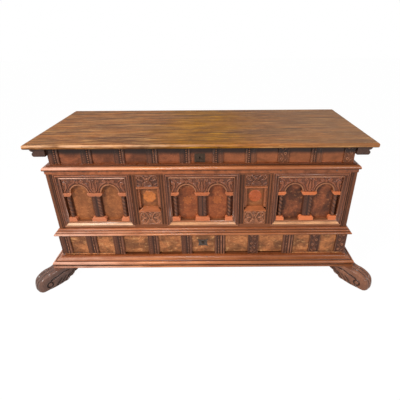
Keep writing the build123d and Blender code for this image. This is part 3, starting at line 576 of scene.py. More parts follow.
def lid_tone(colour):
    """The lid's golden middle, dark streaks and patches, a painted sheen to the right, glued joints, a
    handled front edge with a painted highlight to the left and painted shade to the right, and painted
    shade under its rim.
    """
    place = colour.place()
    x, y, z = place.axes()
    grime, raw = finish().grime, colour
    side = abs(x - 0.03 + (place.noise((2.5, 7.0, 7.0), 4.0) * 0.56 - 0.28))
    gold = side.spread(0.36, 0.0) * 0.68
    colour = colour.tinted(gold, finish().lid_gold)
    patch = place.moved((3.1, 0.4, 0.0)).noise((2.6, 8.0, 8.0), 5.0, 0.65)
    patch = patch.spread(0.44, 0.60) * (side.spread(0.05, 0.40) * 0.52 + 0.12)
    colour = colour.tinted(patch, LID_PATCH)
    for lengthways, across, start, low, high, amount, shade in LID_STREAKS:
        streak = place.moved((start, start, 0.0)).noise((lengthways, across, across), 5.0, 0.66)
        colour = colour.tinted(streak.spread(low, high) * amount, shade)
    colour = colour.tinted(gold * 1.35, LID_SUN, "MULTIPLY")
    # Painted sheen, growing paler towards the right end of the lid.
    colour = colour.tinted(x.spread(0.05, 0.85, 0.0, 0.26), LID_HAZE)
    for seam in LID_SEAMS:
        shaken = place.noise((6.0, 1.0, 1.0), 2.0) * 0.006 - 0.003
        gap = abs(y - seam + shaken)
        colour = colour.tinted(gap.spread(3.5 * MM, 0.8 * MM) * 0.55, grime)
    front, base = LID_LOW.y, LID_LOW.z
    # The front lip: rubbed by handling, with a painted highlight towards the left end and painted shade
    # towards the right.
    lip = y.spread(front + 6 * MM, front + 2 * MM) * z.spread(base + 8 * MM, base + 15 * MM)
    rub = lip * place.noise((9.0, 30.0, 30.0), 3.0).spread(0.2, 0.6)
    handled = x.spread(-0.45, 0.30).between(LIP_LEFT, LIP_RIGHT)
    colour = colour.tinted(rub * 0.62, handled)
    # Painted shade on the lower edge and underside of the lid near its front and ends.
    near_end = abs(x).spread(LID_HIGH.x - 55 * MM, LID_HIGH.x - 35 * MM)
    rim = y.spread(front + 75 * MM, front + 55 * MM).math("MAXIMUM", near_end)
    under = z.spread(base + 8 * MM, base + 1 * MM) * rim
    plain = raw.tinted(0.45, LID_RAW)
    colour = colour.tinted(z.spread(base + 3 * MM, base + 1 * MM), plain)
    return colour.tinted(under * 0.85, grime)


def profile_tone(colour, distance, reach, stops, pale, share=1.0, wax=0.93):
    """Painted shade with old wax in a moulding's quirks, and painted highlights with wear on its crowns,
    after its stops.
    """
    ramp = put(colour.tree, "ShaderNodeValToRGB", {0: distance / (reach * MM)})
    line = ramp.color_ramp.elements
    line.remove(line[-1])
    for k, (place, tone) in enumerate(stops):
        stop = line.new(place / reach) if k else line[0]
        stop.position = place / reach
        stop.color = (tone, tone, tone, 1.0)
    tone = Flow(colour.tree, ramp.outputs[0])
    drift = colour.place().noise((7.0, 25.0, 25.0), 3.0)
    # Painted highlight on the crowns, broken by a drift of noise, then painted shade with old wax in the
    # quirks.
    rub = tone.spread(0.5, 1.0) * drift.spread(0.24, 0.62, 0.26, 1.0)
    return colour.tinted(rub * share, pale).tinted(tone.spread(0.5, 0.0) * wax, finish().grime)


def storey_tone(node, out_share, reach, stops):
    """Tone of a moulding by its place down from its top, plus out_share of its place before the stiles,
    with painted highlights stronger and paler towards the left end and painted shade growing towards the
    right.
    """

    def tone(colour):
        place = colour.place()
        x, _, z = place.axes()
        distance = returned(place)[1] * out_share + (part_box(node)[1].z - z)
        # Painted highlights on the crowns, stronger and paler towards the left end, and painted shade
        # growing towards the right end.
        share = x.spread(-0.75, 0.30, 0.95, 0.34)
        rubbed = x.spread(-0.75, -0.20).between(MOULDING_PALE, MOULDING_RED)
        colour = profile_tone(colour, distance, reach, stops, rubbed, share)
        return colour.tinted(x.spread(-0.2, 0.6) * 0.30, MOULDING_DULL)

    return tone


def frame_tone(colour):
    """Painted shade with wax in the frames' quirks, painted highlights on the beads of the members that lie
    level, paler towards the left, painted light on the lower members and painted shade on the uprights.
    """
    place = colour.place()
    _, depth, upright, _, low = framed(place)
    left = place.axes()[0].spread(-0.20, -0.45)
    # Painted highlights on the crowns, paler towards the left and mostly on the members that lie level;
    # painted shade with wax in the quirks.
    rail = left.between(RAIL_RIGHT, RAIL_LEFT)
    level, wax = 0.95 - upright * 0.75, 0.90 - upright * 0.50
    plain = profile_tone(colour, depth, FRAME_REACH, FRAME_STOPS, rail, level, wax)
    plain = plain.tinted(upright * 0.42, UPRIGHT_SHADE)
    # The lower members: painted light over their timber, with their own painted highlights and shade.
    rest = left.between(SILL_RIGHT, SILL_LEFT)
    sill = profile_tone(colour.tinted(0.30, SILL_WOOD), depth, FRAME_REACH, SILL_STOPS, rest)
    return plain.tinted(low * (1.0 - upright), sill)


def stile_tone(*nodes):
    """Painted shade, with old wax, in the grooves that run down the stiles."""
    points = [point.co for node in nodes for point in NODES[node].data.vertices]
    lines = {round(abs(co.x), 4) for co in points if 2 * MM < co.y - FRONT < 5 * MM}

    def tone(colour):
        away = abs(colour.place().axes()[0])
        dark = away * 0.0
        for line in sorted(lines):
            dark = dark.math("MAXIMUM", abs(away - line).spread(4.6 * MM, 0.6 * MM))
        return colour.tinted(dark * 0.44, finish().grime)

    return tone


def sided_tone(left, right, share=0.35):
    """A tint that grows towards each end of the chest."""

    def tone(colour):
        across = colour.place().axes()[0]
        colour = colour.tinted(across.spread(-0.10, -0.55, 0.0, share), left)
        return colour.tinted(across.spread(0.10, 0.55, 0.0, share), right)

    return tone


def arch_tone(colour):
    """Painted highlights on the archivolts round the openings of the arcades."""
    place = colour.place()
    local = vector_of(framed(place)[3], 0.0, place.axes()[2])
    centre = (ARCH_OFFSET, 0.0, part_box("arcade_left")[0].z)
    away = wire(place.tree, "ShaderNodeVectorMath", {0: local, 1: centre}, "Value", operation="DISTANCE")
    ring = away.spread(44.5 * MM, 48.0 * MM) * away.spread(53.5 * MM, 50.5 * MM)
    lit = ring * place.noise(30.0, 3.0).spread(0.25, 0.6, 0.4, 1.0)
    return colour.tinted(lit * 0.42, ARCH_RUB)


def narrow_tone(colour):
    """Painted shade on the upper scroll blocks and painted light on the lower ones."""
    height = colour.place().axes()[2]
    low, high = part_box("narrow_blocks")
    middle, blur = (low.z + high.z) / 2, 20 * MM
    colour = colour.tinted(height.spread(middle, middle + blur) * 0.42, SCROLL_SMOKE)
    return colour.tinted(height.spread(middle, middle - blur) * 0.22, SCROLL_RUB)


def field_tone(colour):
    """Fine dark and pale flecks across a veneer."""
    fleck = colour.place().noise((38.0, 38.0, 60.0), 4.0, 0.7)
    colour = colour.tinted(fleck.spread(0.52, 0.68) * 0.42, FLECK_DARK)
    return colour.tinted(fleck.spread(0.46, 0.32) * 0.38, FLECK_PALE)


def flower_tone(colour):
    """A faint eight-petalled flower laid into each half of the middle field."""
    x, _, z = colour.place().axes()
    colour = field_tone(colour)
    low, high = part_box("field_centre")
    across = abs(x) - ARCH_OFFSET
    up = z - ((low.z + high.z) / 2 - 12 * MM)
    away = (across * across + up * up).math("SQRT")
    petals = (up.math("ARCTAN2", across) * 8.0).math("COSINE")
    past = away - (petals * FLOWER_WAVE + FLOWER_RADIUS)
    colour = colour.tinted(past.spread(FLOWER_LINE, -FLOWER_LINE) * 0.30, PETAL)
    return colour.tinted(abs(past).spread(2.8 * MM, FLOWER_LINE) * 0.45, PETAL_LINE)


def scuffed_tone(colour):
    """Bright rubbed flakes and dark scratches on the low veneers."""
    place = colour.place()
    for scales, start, low, high, amount, shade in SCUFFS:
        flake = place.moved((start, 0.0, start)).noise(scales, 5.0, 0.7)
        colour = colour.tinted(flake.spread(low, high) * amount, shade)
    return colour


def frieze_tone(colour):
    """Painted shadow of the lid along the top of the frieze, and painted light growing towards its right
    end.
    """
    place = colour.place()
    x, _, z = place.axes()
    drift = place.noise((5.0, 5.0, 5.0), 3.0) * 0.012
    # Painted shadow of the lid's overhang along the top of the frieze.
    dark = (z + drift).spread(LID_LOW.z - 52 * MM, LID_LOW.z - 30 * MM)
    colour = colour.tinted(dark * 0.88, finish().grime)
    # Painted light growing towards the right end of the frieze.
    return colour.tinted(x.spread(-0.2, 0.5) * (0.22 - dark * 0.22), FRIEZE_GLOW)


CARVED = {"carved": True, "reach": 0.008}
STAINED = {**CARVED, "grime": 0.85, "wear": 0.7, "rough": 0.30, "worn": (0.50, 0.205, 0.105)}
TOED = {"carved": True, "reach": 0.012, "grime": 0.95, "marks": 0.10}
MOULDED = {"wear": 0.5, "rough": 0.24, "reach": 0.016, "grime": 0.9, "coat": 0.18}
FIELD = {"burl": 0.6, "rough": 0.36}
INLAY = {"burl": 0.5, "clouds": 0.2}
BARE = {"rough": 0.62, "coat": 0.0, "patches": 0.9, "wear": 0.2}
CAPPED = {"extra": sided_tone((0.42, 0.15, 0.075), (0.86, 0.22, 0.065), 0.45)}


def build_materials():
    """All timbers, each by its name, light and dark grain, grain axis and place in the plank."""
    f = finish()
    walnut, shadow = f.walnut_light, f.walnut_dark
    made = {}

    def keep(name, *args, **kwargs):
        made[name] = timber(name, *args, **kwargs)

    keep("lid walnut", f.lid_light, f.lid_dark, figure=1.6, patches=0.6, rough=0.50, coat=0.0, marks=0.5,
         wear=0.5, extra=lid_tone, reach=0.02, shine=0.1)
    keep("walnut rails", shaded(0.9, walnut), shadow, "X", (0.3, 0.1, 0.7))
    keep("frieze walnut", (0.37, 0.112, 0.044), (0.135, 0.038, 0.015), "X", (1.3, 0.1, 0.7), burl=0.5,
         clouds=0.5, rough=0.30, extra=frieze_tone)
    keep("arch walnut", walnut, shadow, "X", (0.3, 0.1, 0.7), extra=arch_tone)
    keep("walnut stiles", shaded(0.74, walnut), shaded(0.68, shadow), "Z", (1.3, 0.4, 0.0), grime=0.9,
         extra=stile_tone("corner_stiles", "panel_stiles"))
    for name, node, out_share, reach, stops in (
        ("cornice walnut", "cornice", 0.0, 46.0, CORNICE_STOPS),
        ("belt walnut", "belt_moulding", 1.0, 64.0, BELT_STOPS),
        ("base walnut", "base_moulding", 1.0, 121.0, BASE_STOPS),
    ):
        tone = storey_tone(node, out_share, reach, stops)
        keep(name, (0.39, 0.107, 0.030), (0.145, 0.037, 0.011), "returned", (2.3 + reach, 0.1, 0.7),
             extra=tone, **MOULDED)
    keep("walnut trim", (0.46, 0.145, 0.052), (0.19, 0.054, 0.019), "X", (2.9, 0.1, 0.7), wear=0.6,
         rough=0.26, grime=0.9, coat=0.3)
    keep("walnut frames", (0.33, 0.098, 0.034), (0.115, 0.030, 0.011), "frames", (0.0, 0.8, 0.4),
         rough=0.24, reach=0.014, coat=0.25, grime=0.9, shine=0.25, extra=frame_tone)
    keep("walnut end frames", walnut, shadow, "end frames", (0.9, 0.8, 0.4), wear=0.5)
    keep("walnut cross grain", walnut, shadow, "Y", (0.2, 0.9, 0.5))
    # The battens' timber is darkened with painted shade, as their ends sit in the shadow of the lid.
    keep("batten walnut", (0.105, 0.044, 0.026), (0.030, 0.013, 0.008), "Y", (0.7, 0.9, 0.5), grime=0.9,
         wear=0.6, worn=(0.22, 0.16, 0.14), coat=0.3)
    keep("dark walnut", (0.19, 0.066, 0.028), (0.060, 0.020, 0.010), "Z", grime=0.8)
    keep("golden field", f.gold_light, f.gold_dark, "Z", (0.2, 0.0, 0.1), clouds=0.35, extra=field_tone,
         **FIELD)
    keep("red field", (0.35, 0.088, 0.026), (0.16, 0.038, 0.012), "Z", (1.2, 0.0, 0.6), extra=flower_tone,
         **FIELD)
    keep("clouded field", (0.37, 0.104, 0.038), (0.10, 0.029, 0.014), "Z", (4.6, 0.0, 2.2), clouds=0.72,
         extra=field_tone, **FIELD)
    keep("drawer veneer", (0.60, 0.228, 0.078), (0.24, 0.072, 0.028), "X", (3.0, 0.0, 1.1), burl=0.7,
         clouds=0.6, rough=0.32, extra=scuffed_tone)
    keep("fruitwood", shaded(0.92, f.fruit_light), shaded(0.85, f.fruit_dark), "X", (5.0, 0.2, 0.3),
         wear=0.6, worn=(0.82, 0.42, 0.25), **CAPPED)
    keep("pale fruitwood", (0.74, 0.220, 0.088), (0.46, 0.120, 0.044), "X", (5.6, 0.2, 0.3), wear=0.5,
         worn=(0.90, 0.44, 0.25), **CAPPED)
    keep("golden inlay", (0.52, 0.160, 0.034), (0.30, 0.080, 0.018), "X", (7.0, 0.2, 0.3), **INLAY)
    keep("red inlay", (0.42, 0.090, 0.022), (0.25, 0.050, 0.014), "X", (8.0, 0.2, 0.3), **INLAY)
    keep("lining boards", f.lining_light, f.lining_dark, "X", (0.0, 0.0, 4.0), **BARE)
    keep("lining cross boards", f.lining_light, f.lining_dark, "Y", (0.0, 0.0, 4.0), **BARE)
    keep("carved walnut", f.carved_light, f.carved_dark, "Z", (0.4, 0.7, 0.1), **STAINED)
    keep("shaded carving", f.carved_light, f.carved_dark, "Z", (0.4, 0.7, 0.1), extra=frieze_tone,
         **STAINED)
    keep("lit carving", (0.32, 0.100, 0.040), (0.15, 0.044, 0.018), "Z", (0.9, 0.7, 0.1), grime=0.58,
         wear=0.38, rough=0.26, coat=0.3, worn=(0.52, 0.205, 0.100), extra=narrow_tone, **CARVED)
    keep("column walnut", (0.13, 0.044, 0.022), (0.045, 0.015, 0.008), "Z", (0.8, 0.7, 0.1), grime=0.9,
         wear=0.48, rough=0.30, worn=(0.34, 0.135, 0.068), **CARVED)
    keep("spandrel walnut", (0.27, 0.076, 0.028), (0.13, 0.036, 0.014), "X", (0.4, 0.7, 0.1), grime=0.58,
         wear=0.32, rough=0.26, coat=0.35, worn=(0.44, 0.165, 0.080),
         extra=sided_tone((0.11, 0.034, 0.016), (0.26, 0.062, 0.020)), **CARVED)
    keep("foot walnut", (0.165, 0.080, 0.056), (0.075, 0.034, 0.024), "Z", (0.2, 0.3, 0.9), wear=0.10,
         rough=0.32, coat=0.3, bump=0.06, worn=(0.25, 0.135, 0.09), **TOED)
    keep("red foot walnut", (0.29, 0.115, 0.060), (0.120, 0.046, 0.026), "Z", (0.6, 0.3, 0.9), wear=0.25,
         coat=0.2, bump=0.08, worn=(0.42, 0.18, 0.10), **TOED)
    made["wrought iron"] = iron("wrought iron")
    made["old pins"] = iron("old pins", 0.3)
    return made


# The nodes of each finish. The rest are iron.
FINISH_NODES = {
    "lid walnut": "lid_board",
    "batten walnut": "lid_battens",
    "frieze walnut": "front_board",
    "walnut rails": "top_rail bottom_rail drawer_sill",
    "walnut stiles": "corner_stiles panel_stiles",
    "walnut cross grain": "end_facings plinth_ends",
    "walnut end frames": "end_frame_left end_frame_right",
    "walnut frames": "frame_left frame_centre frame_right",
    "golden field": "field_left narrow_fields",
    "red field": "field_centre",
    "clouded field": "field_right",
    "arch walnut": "arcade_left arcade_centre arcade_right",
    "fruitwood": "capitals",
    "pale fruitwood": "column_bases",
    "walnut trim": "narrow_trim",
    "golden inlay": "rosettes",
    "cornice walnut": "cornice",
    "belt walnut": "belt_moulding",
    "base walnut": "base_moulding",
    "dark walnut": "columns narrow_blocks frieze_blocks drawer_blocks plinth_blocks foot_front_left "
                   "foot_front_right rear_feet",
    "drawer veneer": "fixed_fronts drawer_front",
    "lining boards": "back_board base_board chest_floor plinth_back drawer_back drawer_bottom",
    "lining cross boards": "end_board_left end_board_right partitions runners drawer_sides",
}
NODE_FINISH = {node: finish_name for finish_name, nodes in FINISH_NODES.items() for node in nodes.split()}
EDGED = (
    "lid_battens front_board corner_stiles panel_stiles frame_left frame_centre frame_right "
    "end_frame_left end_frame_right end_facings capitals column_bases narrow_trim cornice belt_moulding "
    "base_moulding rear_feet drawer_front fixed_fronts plinth_ends drawer_escutcheon chest_escutcheon "
    "lid_straps hinge_leaves"
).split()
SHARP_EDGE = 32
WELD_GAP = 0.01 * MM


def dress_nodes(materials):
    for name, node in NODES.items():
        node.data.materials.clear()
        node.data.materials.append(materials[NODE_FINISH.get(name, "wrought iron")])
        if name in EDGED:
            soften(node)


def modify(node, name, kind, **values):
    made = node.modifiers.new(name, kind)
    for label, value in values.items():
        setattr(made, label, value)


def soften(node):
    """Closes the facets of a node and rounds its edges, without touching its mesh."""
    modify(node, "closed facets", "WELD", merge_threshold=WELD_GAP)
    modify(node, "worn edges", "BEVEL", width=sizes().edge, segments=2, limit_method="ANGLE",
           angle_limit=math.radians(SHARP_EDGE), use_clamp_overlap=True)
    modify(node, "even shading", "WEIGHTED_NORMAL", keep_sharp=False)


class CASSONE_OT_finishes(bpy.types.Operator):
    """Makes the timbers and the iron, and gives each its parts"""

    bl_idname = "cassone.finishes"
    bl_label = "Finishes"

    def execute(self, context):
        dress_nodes(build_materials())
        return {"FINISHED"}


# ---------------------------------------------------------------- carver's tools

# Relief that the finishes read on carved pieces: lower relief is painted darker as shade with dirt, higher
# relief paler as highlight with wear.
WALL_RELIEF = 0.35
CUT_RELIEF = 0.15
LINE_STEPS, LINE_COUNT, SCROLL_STEPS = 16, 64, 10
BEAD_SINK = 0.93
STRING_ENDS = (0.03, 0.97)
PUNCH_PITCH = 2.6 * MM


def solids(node):
    """Boxes (low, high) of the separate pieces in a node, from left to right."""
    rough = bmesh.new()
    rough.from_mesh(NODES[node].data)
    bmesh.ops.remove_doubles(rough, verts=rough.verts, dist=WELD_GAP)
    seen, boxes = set(), []
    for first in rough.verts:
        if first in seen:
            continue
        seen.add(first)
        queue, low, high = [first], first.co.copy(), first.co.copy()
        while queue:
            here = queue.pop()
            low = Vector(map(min, low, here.co))
            high = Vector(map(max, high, here.co))
            for edge in here.link_edges:
                there = edge.other_vert(here)
                if there not in seen:
                    seen.add(there)
                    queue.append(there)
        boxes.append((low, high))
    rough.free()
    return sorted(boxes, key=lambda pair: [round(value, 4) for value in pair[0]])


class Work:
    """Gathers the points, faces and relief of one piece."""

    def __init__(self):
        self.points, self.faces, self.relief, self.strings = [], [], [], []

    def add(self, points, faces, relief):
        start = len(self.points)
        self.points.extend(map(tuple, points))
        self.faces.extend(tuple(start + i for i in face) for face in faces)
        self.relief.extend(relief)

    def patch(self, points, relief, turned=False):
        """Adds an open grid of points."""
        quads = grid_faces(*points.shape[:2])
        self.add(points.reshape(-1, 3), [q[::-1] for q in quads] if turned else quads, relief.ravel())

    def piece(self, name, material, body, replaced=None, slot=None, sharp=48):
        mesh = bpy.data.meshes.new(name)
        mesh.from_pydata(self.points, [], self.faces)
        relief = mesh.attributes.new("relief", "FLOAT", "POINT")
        relief.data.foreach_set("value", np.array(self.relief, np.float32))
        mesh.polygons.foreach_set("use_smooth", np.ones(len(mesh.polygons), bool))
        mesh.update()
        mesh.set_sharp_from_angle(angle=math.radians(sharp))
        mesh.materials.append(bpy.data.materials[material])
        made = bpy.data.objects.new(name, mesh)
        bpy.context.scene.collection.objects.link(made)
        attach(made, body)
        if replaced:
            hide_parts(replaced)
        return made


def grid_faces(rows, columns):
    index = np.arange(rows * columns).reshape(rows, columns)
    quads = np.stack([index[:-1, :-1], index[:-1, 1:], index[1:, 1:], index[1:, :-1]], -1)
    return quads.reshape(-1, 4).tolist()


def rim_of(rows, columns):
    """Indices round the edge of a grid, anticlockwise seen from in front."""
    index = np.arange(rows * columns).reshape(rows, columns)
    return [*index[0, :-1], *index[:-1, -1], *index[-1, :0:-1], *index[:0:-1, 0]]


def closed_slab(work, front, relief, back_of):
    """A grid of front points with walls down to its back, which back_of places."""
    rows, columns = front.shape[:2]
    points = front.reshape(-1, 3)
    rim = rim_of(rows, columns)
    back = np.array([back_of(points[i]) for i in rim])
    faces = grid_faces(rows, columns)
    count, turn = len(points), len(rim)
    for k in range(turn):
        after = (k + 1) % turn
        faces.append((rim[after], rim[k], count + k, count + after))
    faces.append(tuple(count + k for k in reversed(range(turn))))
    work.add(np.vstack([points, back]), faces, [*relief.ravel(), *[WALL_RELIEF] * turn])


def shown(height, ground=CUT_RELIEF):
    """The relief attribute of a carved height: its ground is never quite 0."""
    return ground + (1 - ground) * height


def unit(values, low=0.0):
    return np.clip(values, low, 1.0)


def round_over(across, power=2):
    """Height of a round bead, by the place across it from -1 to 1."""
    return np.sqrt(unit(1 - across**power))


def bell(values, width):
    return np.exp(-((values / width) ** 2))


class Face:
    """One face under the carver's hand: across in u, upwards in v, raised from 0 to 1."""

    def __init__(self, width, height, ground=0.0, step=None, grid=None):
        step = step or sizes().step
        self.width, self.height = width, height
        self.u, self.v = grid or np.meshgrid(
            np.linspace(-width / 2, width / 2, max(4, round(width / step)) + 1),
            np.linspace(0, height, max(4, round(height / step)) + 1),
        )
        self.h = np.full(self.u.shape, ground, float)
        self.strings = []

    def raise_to(self, shape, where=True):
        self.h = np.where(where, np.maximum(self.h, shape), self.h)

    def across(self, centre, width):
        return (self.u - centre) / (width / 2)

    def away(self, u, v, radius):
        return np.sqrt((self.u - u) ** 2 + (self.v - v) ** 2) / radius

    def reed(self, centre, width, height):
        self.raise_to(height * round_over(self.across(centre, width)))

    def groove(self, centre, width, depth=1.0):
        self.h = unit(self.h - depth * bell(self.u - centre, 0.42 * width))

    def channel(self, centre, width):
        """A sunk band down the face, with a string of beads laid in it."""
        self.h = np.where(np.abs(self.u - centre) < width / 2, 0.05, self.h)
        self.strings.append(centre)

    def rope(self, centre, width, pitch, height=1.0, lean=0.9, depth=0.8):
        across = self.across(centre, width)
        strand = np.abs(np.sin(math.pi * (self.v / pitch + lean * across / 2)))
        self.raise_to(height * round_over(across) * (1 - depth * (1 - strand) ** 1.5))

    def scales(self, centre, width, pitch):
        """Overlapping leaves that hang one below the other."""
        across = self.across(centre, width)
        row = (self.v / pitch) % 1.0
        leaf = unit(0.85 - np.abs(across) ** 1.6)
        tongue = round_over(across / (0.25 + 0.75 * row)) * (1 - 0.75 * row)
        vein = 0.22 * bell(across, 0.09)
        self.raise_to(0.25 * leaf + 0.75 * tongue - vein, np.abs(across) < 1)

    def border(self, width, height):
        sideways = np.minimum(self.u + self.width / 2, self.width / 2 - self.u)
        inner = np.minimum(sideways, np.minimum(self.v, self.height - self.v))
        self.raise_to(height * round_over((inner - width / 2) / (width / 2)))

    def stroke(self, points, widths, height=1.0, vein=0.0, lobes=0, bite=0.3):
        """A leaf or stem along a smooth line: widths from its root to its tip."""
        line = smooth_line(points)
        far = (self.u[..., None] - line[:, 0]) ** 2 + (self.v[..., None] - line[:, 1]) ** 2
        near = far.argmin(-1)
        share = near / (len(line) - 1)
        distance = np.sqrt(np.take_along_axis(far, near[..., None], -1)[..., 0])
        width = np.interp(share, np.linspace(0, 1, len(widths)), widths)
        if lobes:
            width = width * (1 - bite * (0.5 + 0.5 * np.cos(2 * math.pi * lobes * share)))
        side = distance / np.maximum(width, TINY)
        shape = round_over(side)
        if vein:
            shape = shape - vein * bell(side, 0.16) * (side < 1)
        self.raise_to(height * unit(shape))

    def dome(self, u, v, radius, height=1.0, ring=0.0):
        away = self.away(u, v, radius)
        self.raise_to(height * unit(round_over(away) - ring * bell(away - 0.62, 0.1)))

    def shell(self, u, v, radius, flutes, height, rim):
        """Half a shell that opens upwards, with a raised rim."""
        away = self.away(u, v, radius)
        turn = np.arctan2(self.v - v, self.u - u)
        ribs = 0.45 + 0.4 * np.abs(np.cos(flutes * turn))
        self.raise_to(height * ribs * unit(away * 1.5), (away < 1 - rim) & (self.v >= v))
        self.raise_to(round_over((away - 1 + rim / 2) / (rim / 2)), self.v >= v)

    def rough_ground(self, amount):
        """Small punch marks over the cut ground."""
        turn = 2 * math.pi / PUNCH_PITCH
        marks = np.sin(self.u * turn) * np.sin((self.v + self.u * 0.4) * turn)
        self.h = unit(self.h + amount * marks * (self.h < 0.3))

    def place(self, work, low, across, out, depth, relief):
        """Adds the carved face to a piece of work: low is its lower middle point."""
        across, out, low = np.array(across, float), np.array(out, float), np.array(low, float)
        upwards = np.array((0, 0, 1.0))
        sunk = ((self.h - 1) * relief)[..., None] * out
        front = low + self.u[..., None] * across + self.v[..., None] * upwards + sunk
        plane = low - out * depth

        def back_of(point):
            return point - out * float(np.dot(point - plane, out))

        closed_slab(work, front, shown(self.h), back_of)
        for centre in self.strings:
            foot = low + centre * across - BEAD_SINK * relief * out
            ends = [tuple(foot + share * self.height * upwards) for share in STRING_ENDS]
            work.strings.append((ends, tuple(out)))


def even_line(points, count):
    """Points at even distances along a line."""
    run = np.concatenate([[0], np.cumsum(np.linalg.norm(np.diff(points, axis=0), axis=1))])
    at = np.linspace(0, run[-1], count)
    return np.stack([np.interp(at, run, points[:, 0]), np.interp(at, run, points[:, 1])], -1)


def smooth_line(points, count=LINE_COUNT):
    """Even points along a smooth line through the given ones."""
    points = np.array(points, float)
    ends = np.vstack([2 * points[0] - points[1], points, 2 * points[-1] - points[-2]])
    made = []
    for k in range(1, len(ends) - 2):
        a, b, c, d = ends[k - 1 : k + 3]
        for t in np.linspace(0, 1, LINE_STEPS, endpoint=False):
            bend = (2 * a - 5 * b + 4 * c - d) * t**2 + (3 * b - a - 3 * c + d) * t**3
            made.append(0.5 * (2 * b + (c - a) * t + bend))
    return even_line(np.array([*made, points[-1]]), count)


def volute(centre, radius, turns, start, hand=1, close=0.22):
    """Points of a scroll that winds in to its centre."""
    shares = np.linspace(0, 1, int(SCROLL_STEPS * turns) + 2)
    angles = start + hand * shares * turns * 2 * math.pi
    reach = radius * (1 - (1 - close) * shares)
    return [(centre[0] + r * math.cos(a), centre[1] + r * math.sin(a)) for r, a in zip(reach, angles)]


def mirrored(points):
    return [(-u, v) for u, v in points]


# ---------------------------------------------------------------- upright blocks of the bands

THIN = 20 * MM
BLOCK_DEPTH = 9.8 * MM
BLOCK_RETURN = 10.2 * MM
TO_FRONT = ((1, 0, 0), (0, -1, 0))


def reeded_pattern(face, hand):
    """Hanging leaves on one side, a sunk channel of beads and a twisted cord on the other."""
    w = face.width
    face.raise_to(0.34)
    face.scales(-0.26 * w * hand, 0.42 * w, 0.24 * w)
    face.groove(-0.01 * w * hand, 0.06 * w)
    face.channel(0.15 * w * hand, 0.24 * w)
    face.rope(0.39 * w * hand, 0.18 * w, 0.15 * w)


def triple_pattern(face, hand):
    """A twisted cord, a string of beads and two reeds beside a narrow flat."""
    w = face.width
    face.raise_to(0.28)
    face.rope(-0.38 * w * hand, 0.20 * w, 0.16 * w, 0.95, depth=0.75)
    face.channel(-0.12 * w * hand, 0.24 * w)
    for place, tall in ((0.14, 0.95), (0.38, 0.9)):
        face.reed(place * w * hand, 0.18 * w, tall)
        face.groove((place + 0.12) * w * hand, 0.06 * w, 0.8)


def vine_pattern(face, hand):
    """A winding stem with curled leaves and berries between two beaded fillets."""
    w, tall = face.width, face.height
    face.rough_ground(0.12)
    face.raise_to(0.22)
    for edge in (-0.45, 0.45):
        face.rope(edge * w, 0.11 * w, 0.16 * w, 0.85, 0.0, 0.9)
    turns = max(3, round(tall / (0.50 * w)))
    stem = [(0.10 * w * hand * (-1) ** k, tall * (k + 0.5) / turns) for k in range(turns)]
    face.stroke([(0, 0), *stem, (0, tall)], [0.05 * w, 0.05 * w], 0.75)
    for u, v in stem:
        out = -1 if u > 0 else 1
        scroll = volute((u + out * 0.22 * w, v + 0.08 * w), 0.13 * w, 1.0, -0.5 * math.pi, out, 0.45)
        face.stroke(scroll, [0.065 * w, 0.05 * w])
        leaf = [(u, v - 0.12 * w), (u * 2.0, v - 0.02 * w), (u * 3.4, v + 0.12 * w)]
        face.stroke(leaf, [0.03 * w, 0.075 * w, 0.02 * w], 0.95, 0.3, 3)


def on_front(work, face, low, high, depth, relief):
    face.place(work, ((low.x + high.x) / 2, low.y, low.z), *TO_FRONT, depth, relief)


def on_end(work, low, high, pattern, relief):
    """Carves the outer end of a block."""
    out = 1 if low.x > 0 else -1
    face = Face(high.y - low.y, high.z - low.z)
    pattern(face, out)
    edge = high.x if out > 0 else low.x
    middle = (edge, (low.y + high.y) / 2, low.z)
    face.place(work, middle, (0, out, 0), (out, 0, 0), BLOCK_DEPTH, relief)


def carve_band(node, name, pattern_of, body, material="carved walnut"):
    """Carves every upright block of a band after its own pattern. Gives the bead strings to lay in it."""
    work = Work()
    relief = sizes().block_relief
    boxes = solids(node)
    fronts = [box for box in boxes if box[1].x - box[0].x > THIN]
    ends = [box for box in boxes if box[1].x - box[0].x <= THIN]
    for k, (low, high) in enumerate(fronts):
        face = Face(high.x - low.x, high.z - low.z)
        pattern, hand = pattern_of(k, len(fronts))
        pattern(face, hand)
        on_front(work, face, low, high, BLOCK_DEPTH, relief)
        if high.y - low.y > THIN:
            on_end(work, low + Vector((0, BLOCK_RETURN, 0)), high, triple_pattern, relief)
    for low, high in ends:
        on_end(work, low, high, reeded_pattern, relief)
    work.piece(name, material, body, node, "dark_walnut")
    return work.strings


def frieze_pattern(k, count):
    return (vine_pattern, 1) if k in (7, 9) else (reeded_pattern, 1 if k < count / 2 else -1)


def drawer_pattern(k, count):
    return (vine_pattern if k == 4 else reeded_pattern if k < 3 else triple_pattern), 1


def plinth_pattern(k, count):
    return (reeded_pattern, 1) if k < count / 2 else (vine_pattern, 1 if k % 2 else -1)


class CASSONE_OT_bands(bpy.types.Operator):
    """Carves the upright blocks of the frieze, the drawer and the plinth"""

    bl_idname = "cassone.bands"
    bl_label = "Carved blocks"

    def execute(self, context):
        strings = carve_band("frieze_blocks", "frieze_carving", frieze_pattern, "carcass", "shaded carving")
        strings += carve_band("plinth_blocks", "plinth_carving", plinth_pattern, "carcass")
        bead_strings("carcass_beads", strings, "carcass")
        strings = carve_band("drawer_blocks", "drawer_carving", drawer_pattern, "drawer")
        bead_strings("drawer_beads", strings, "drawer")
        return {"FINISHED"}


# ---------------------------------------------------------------- nails and beads, set by geometry nodes

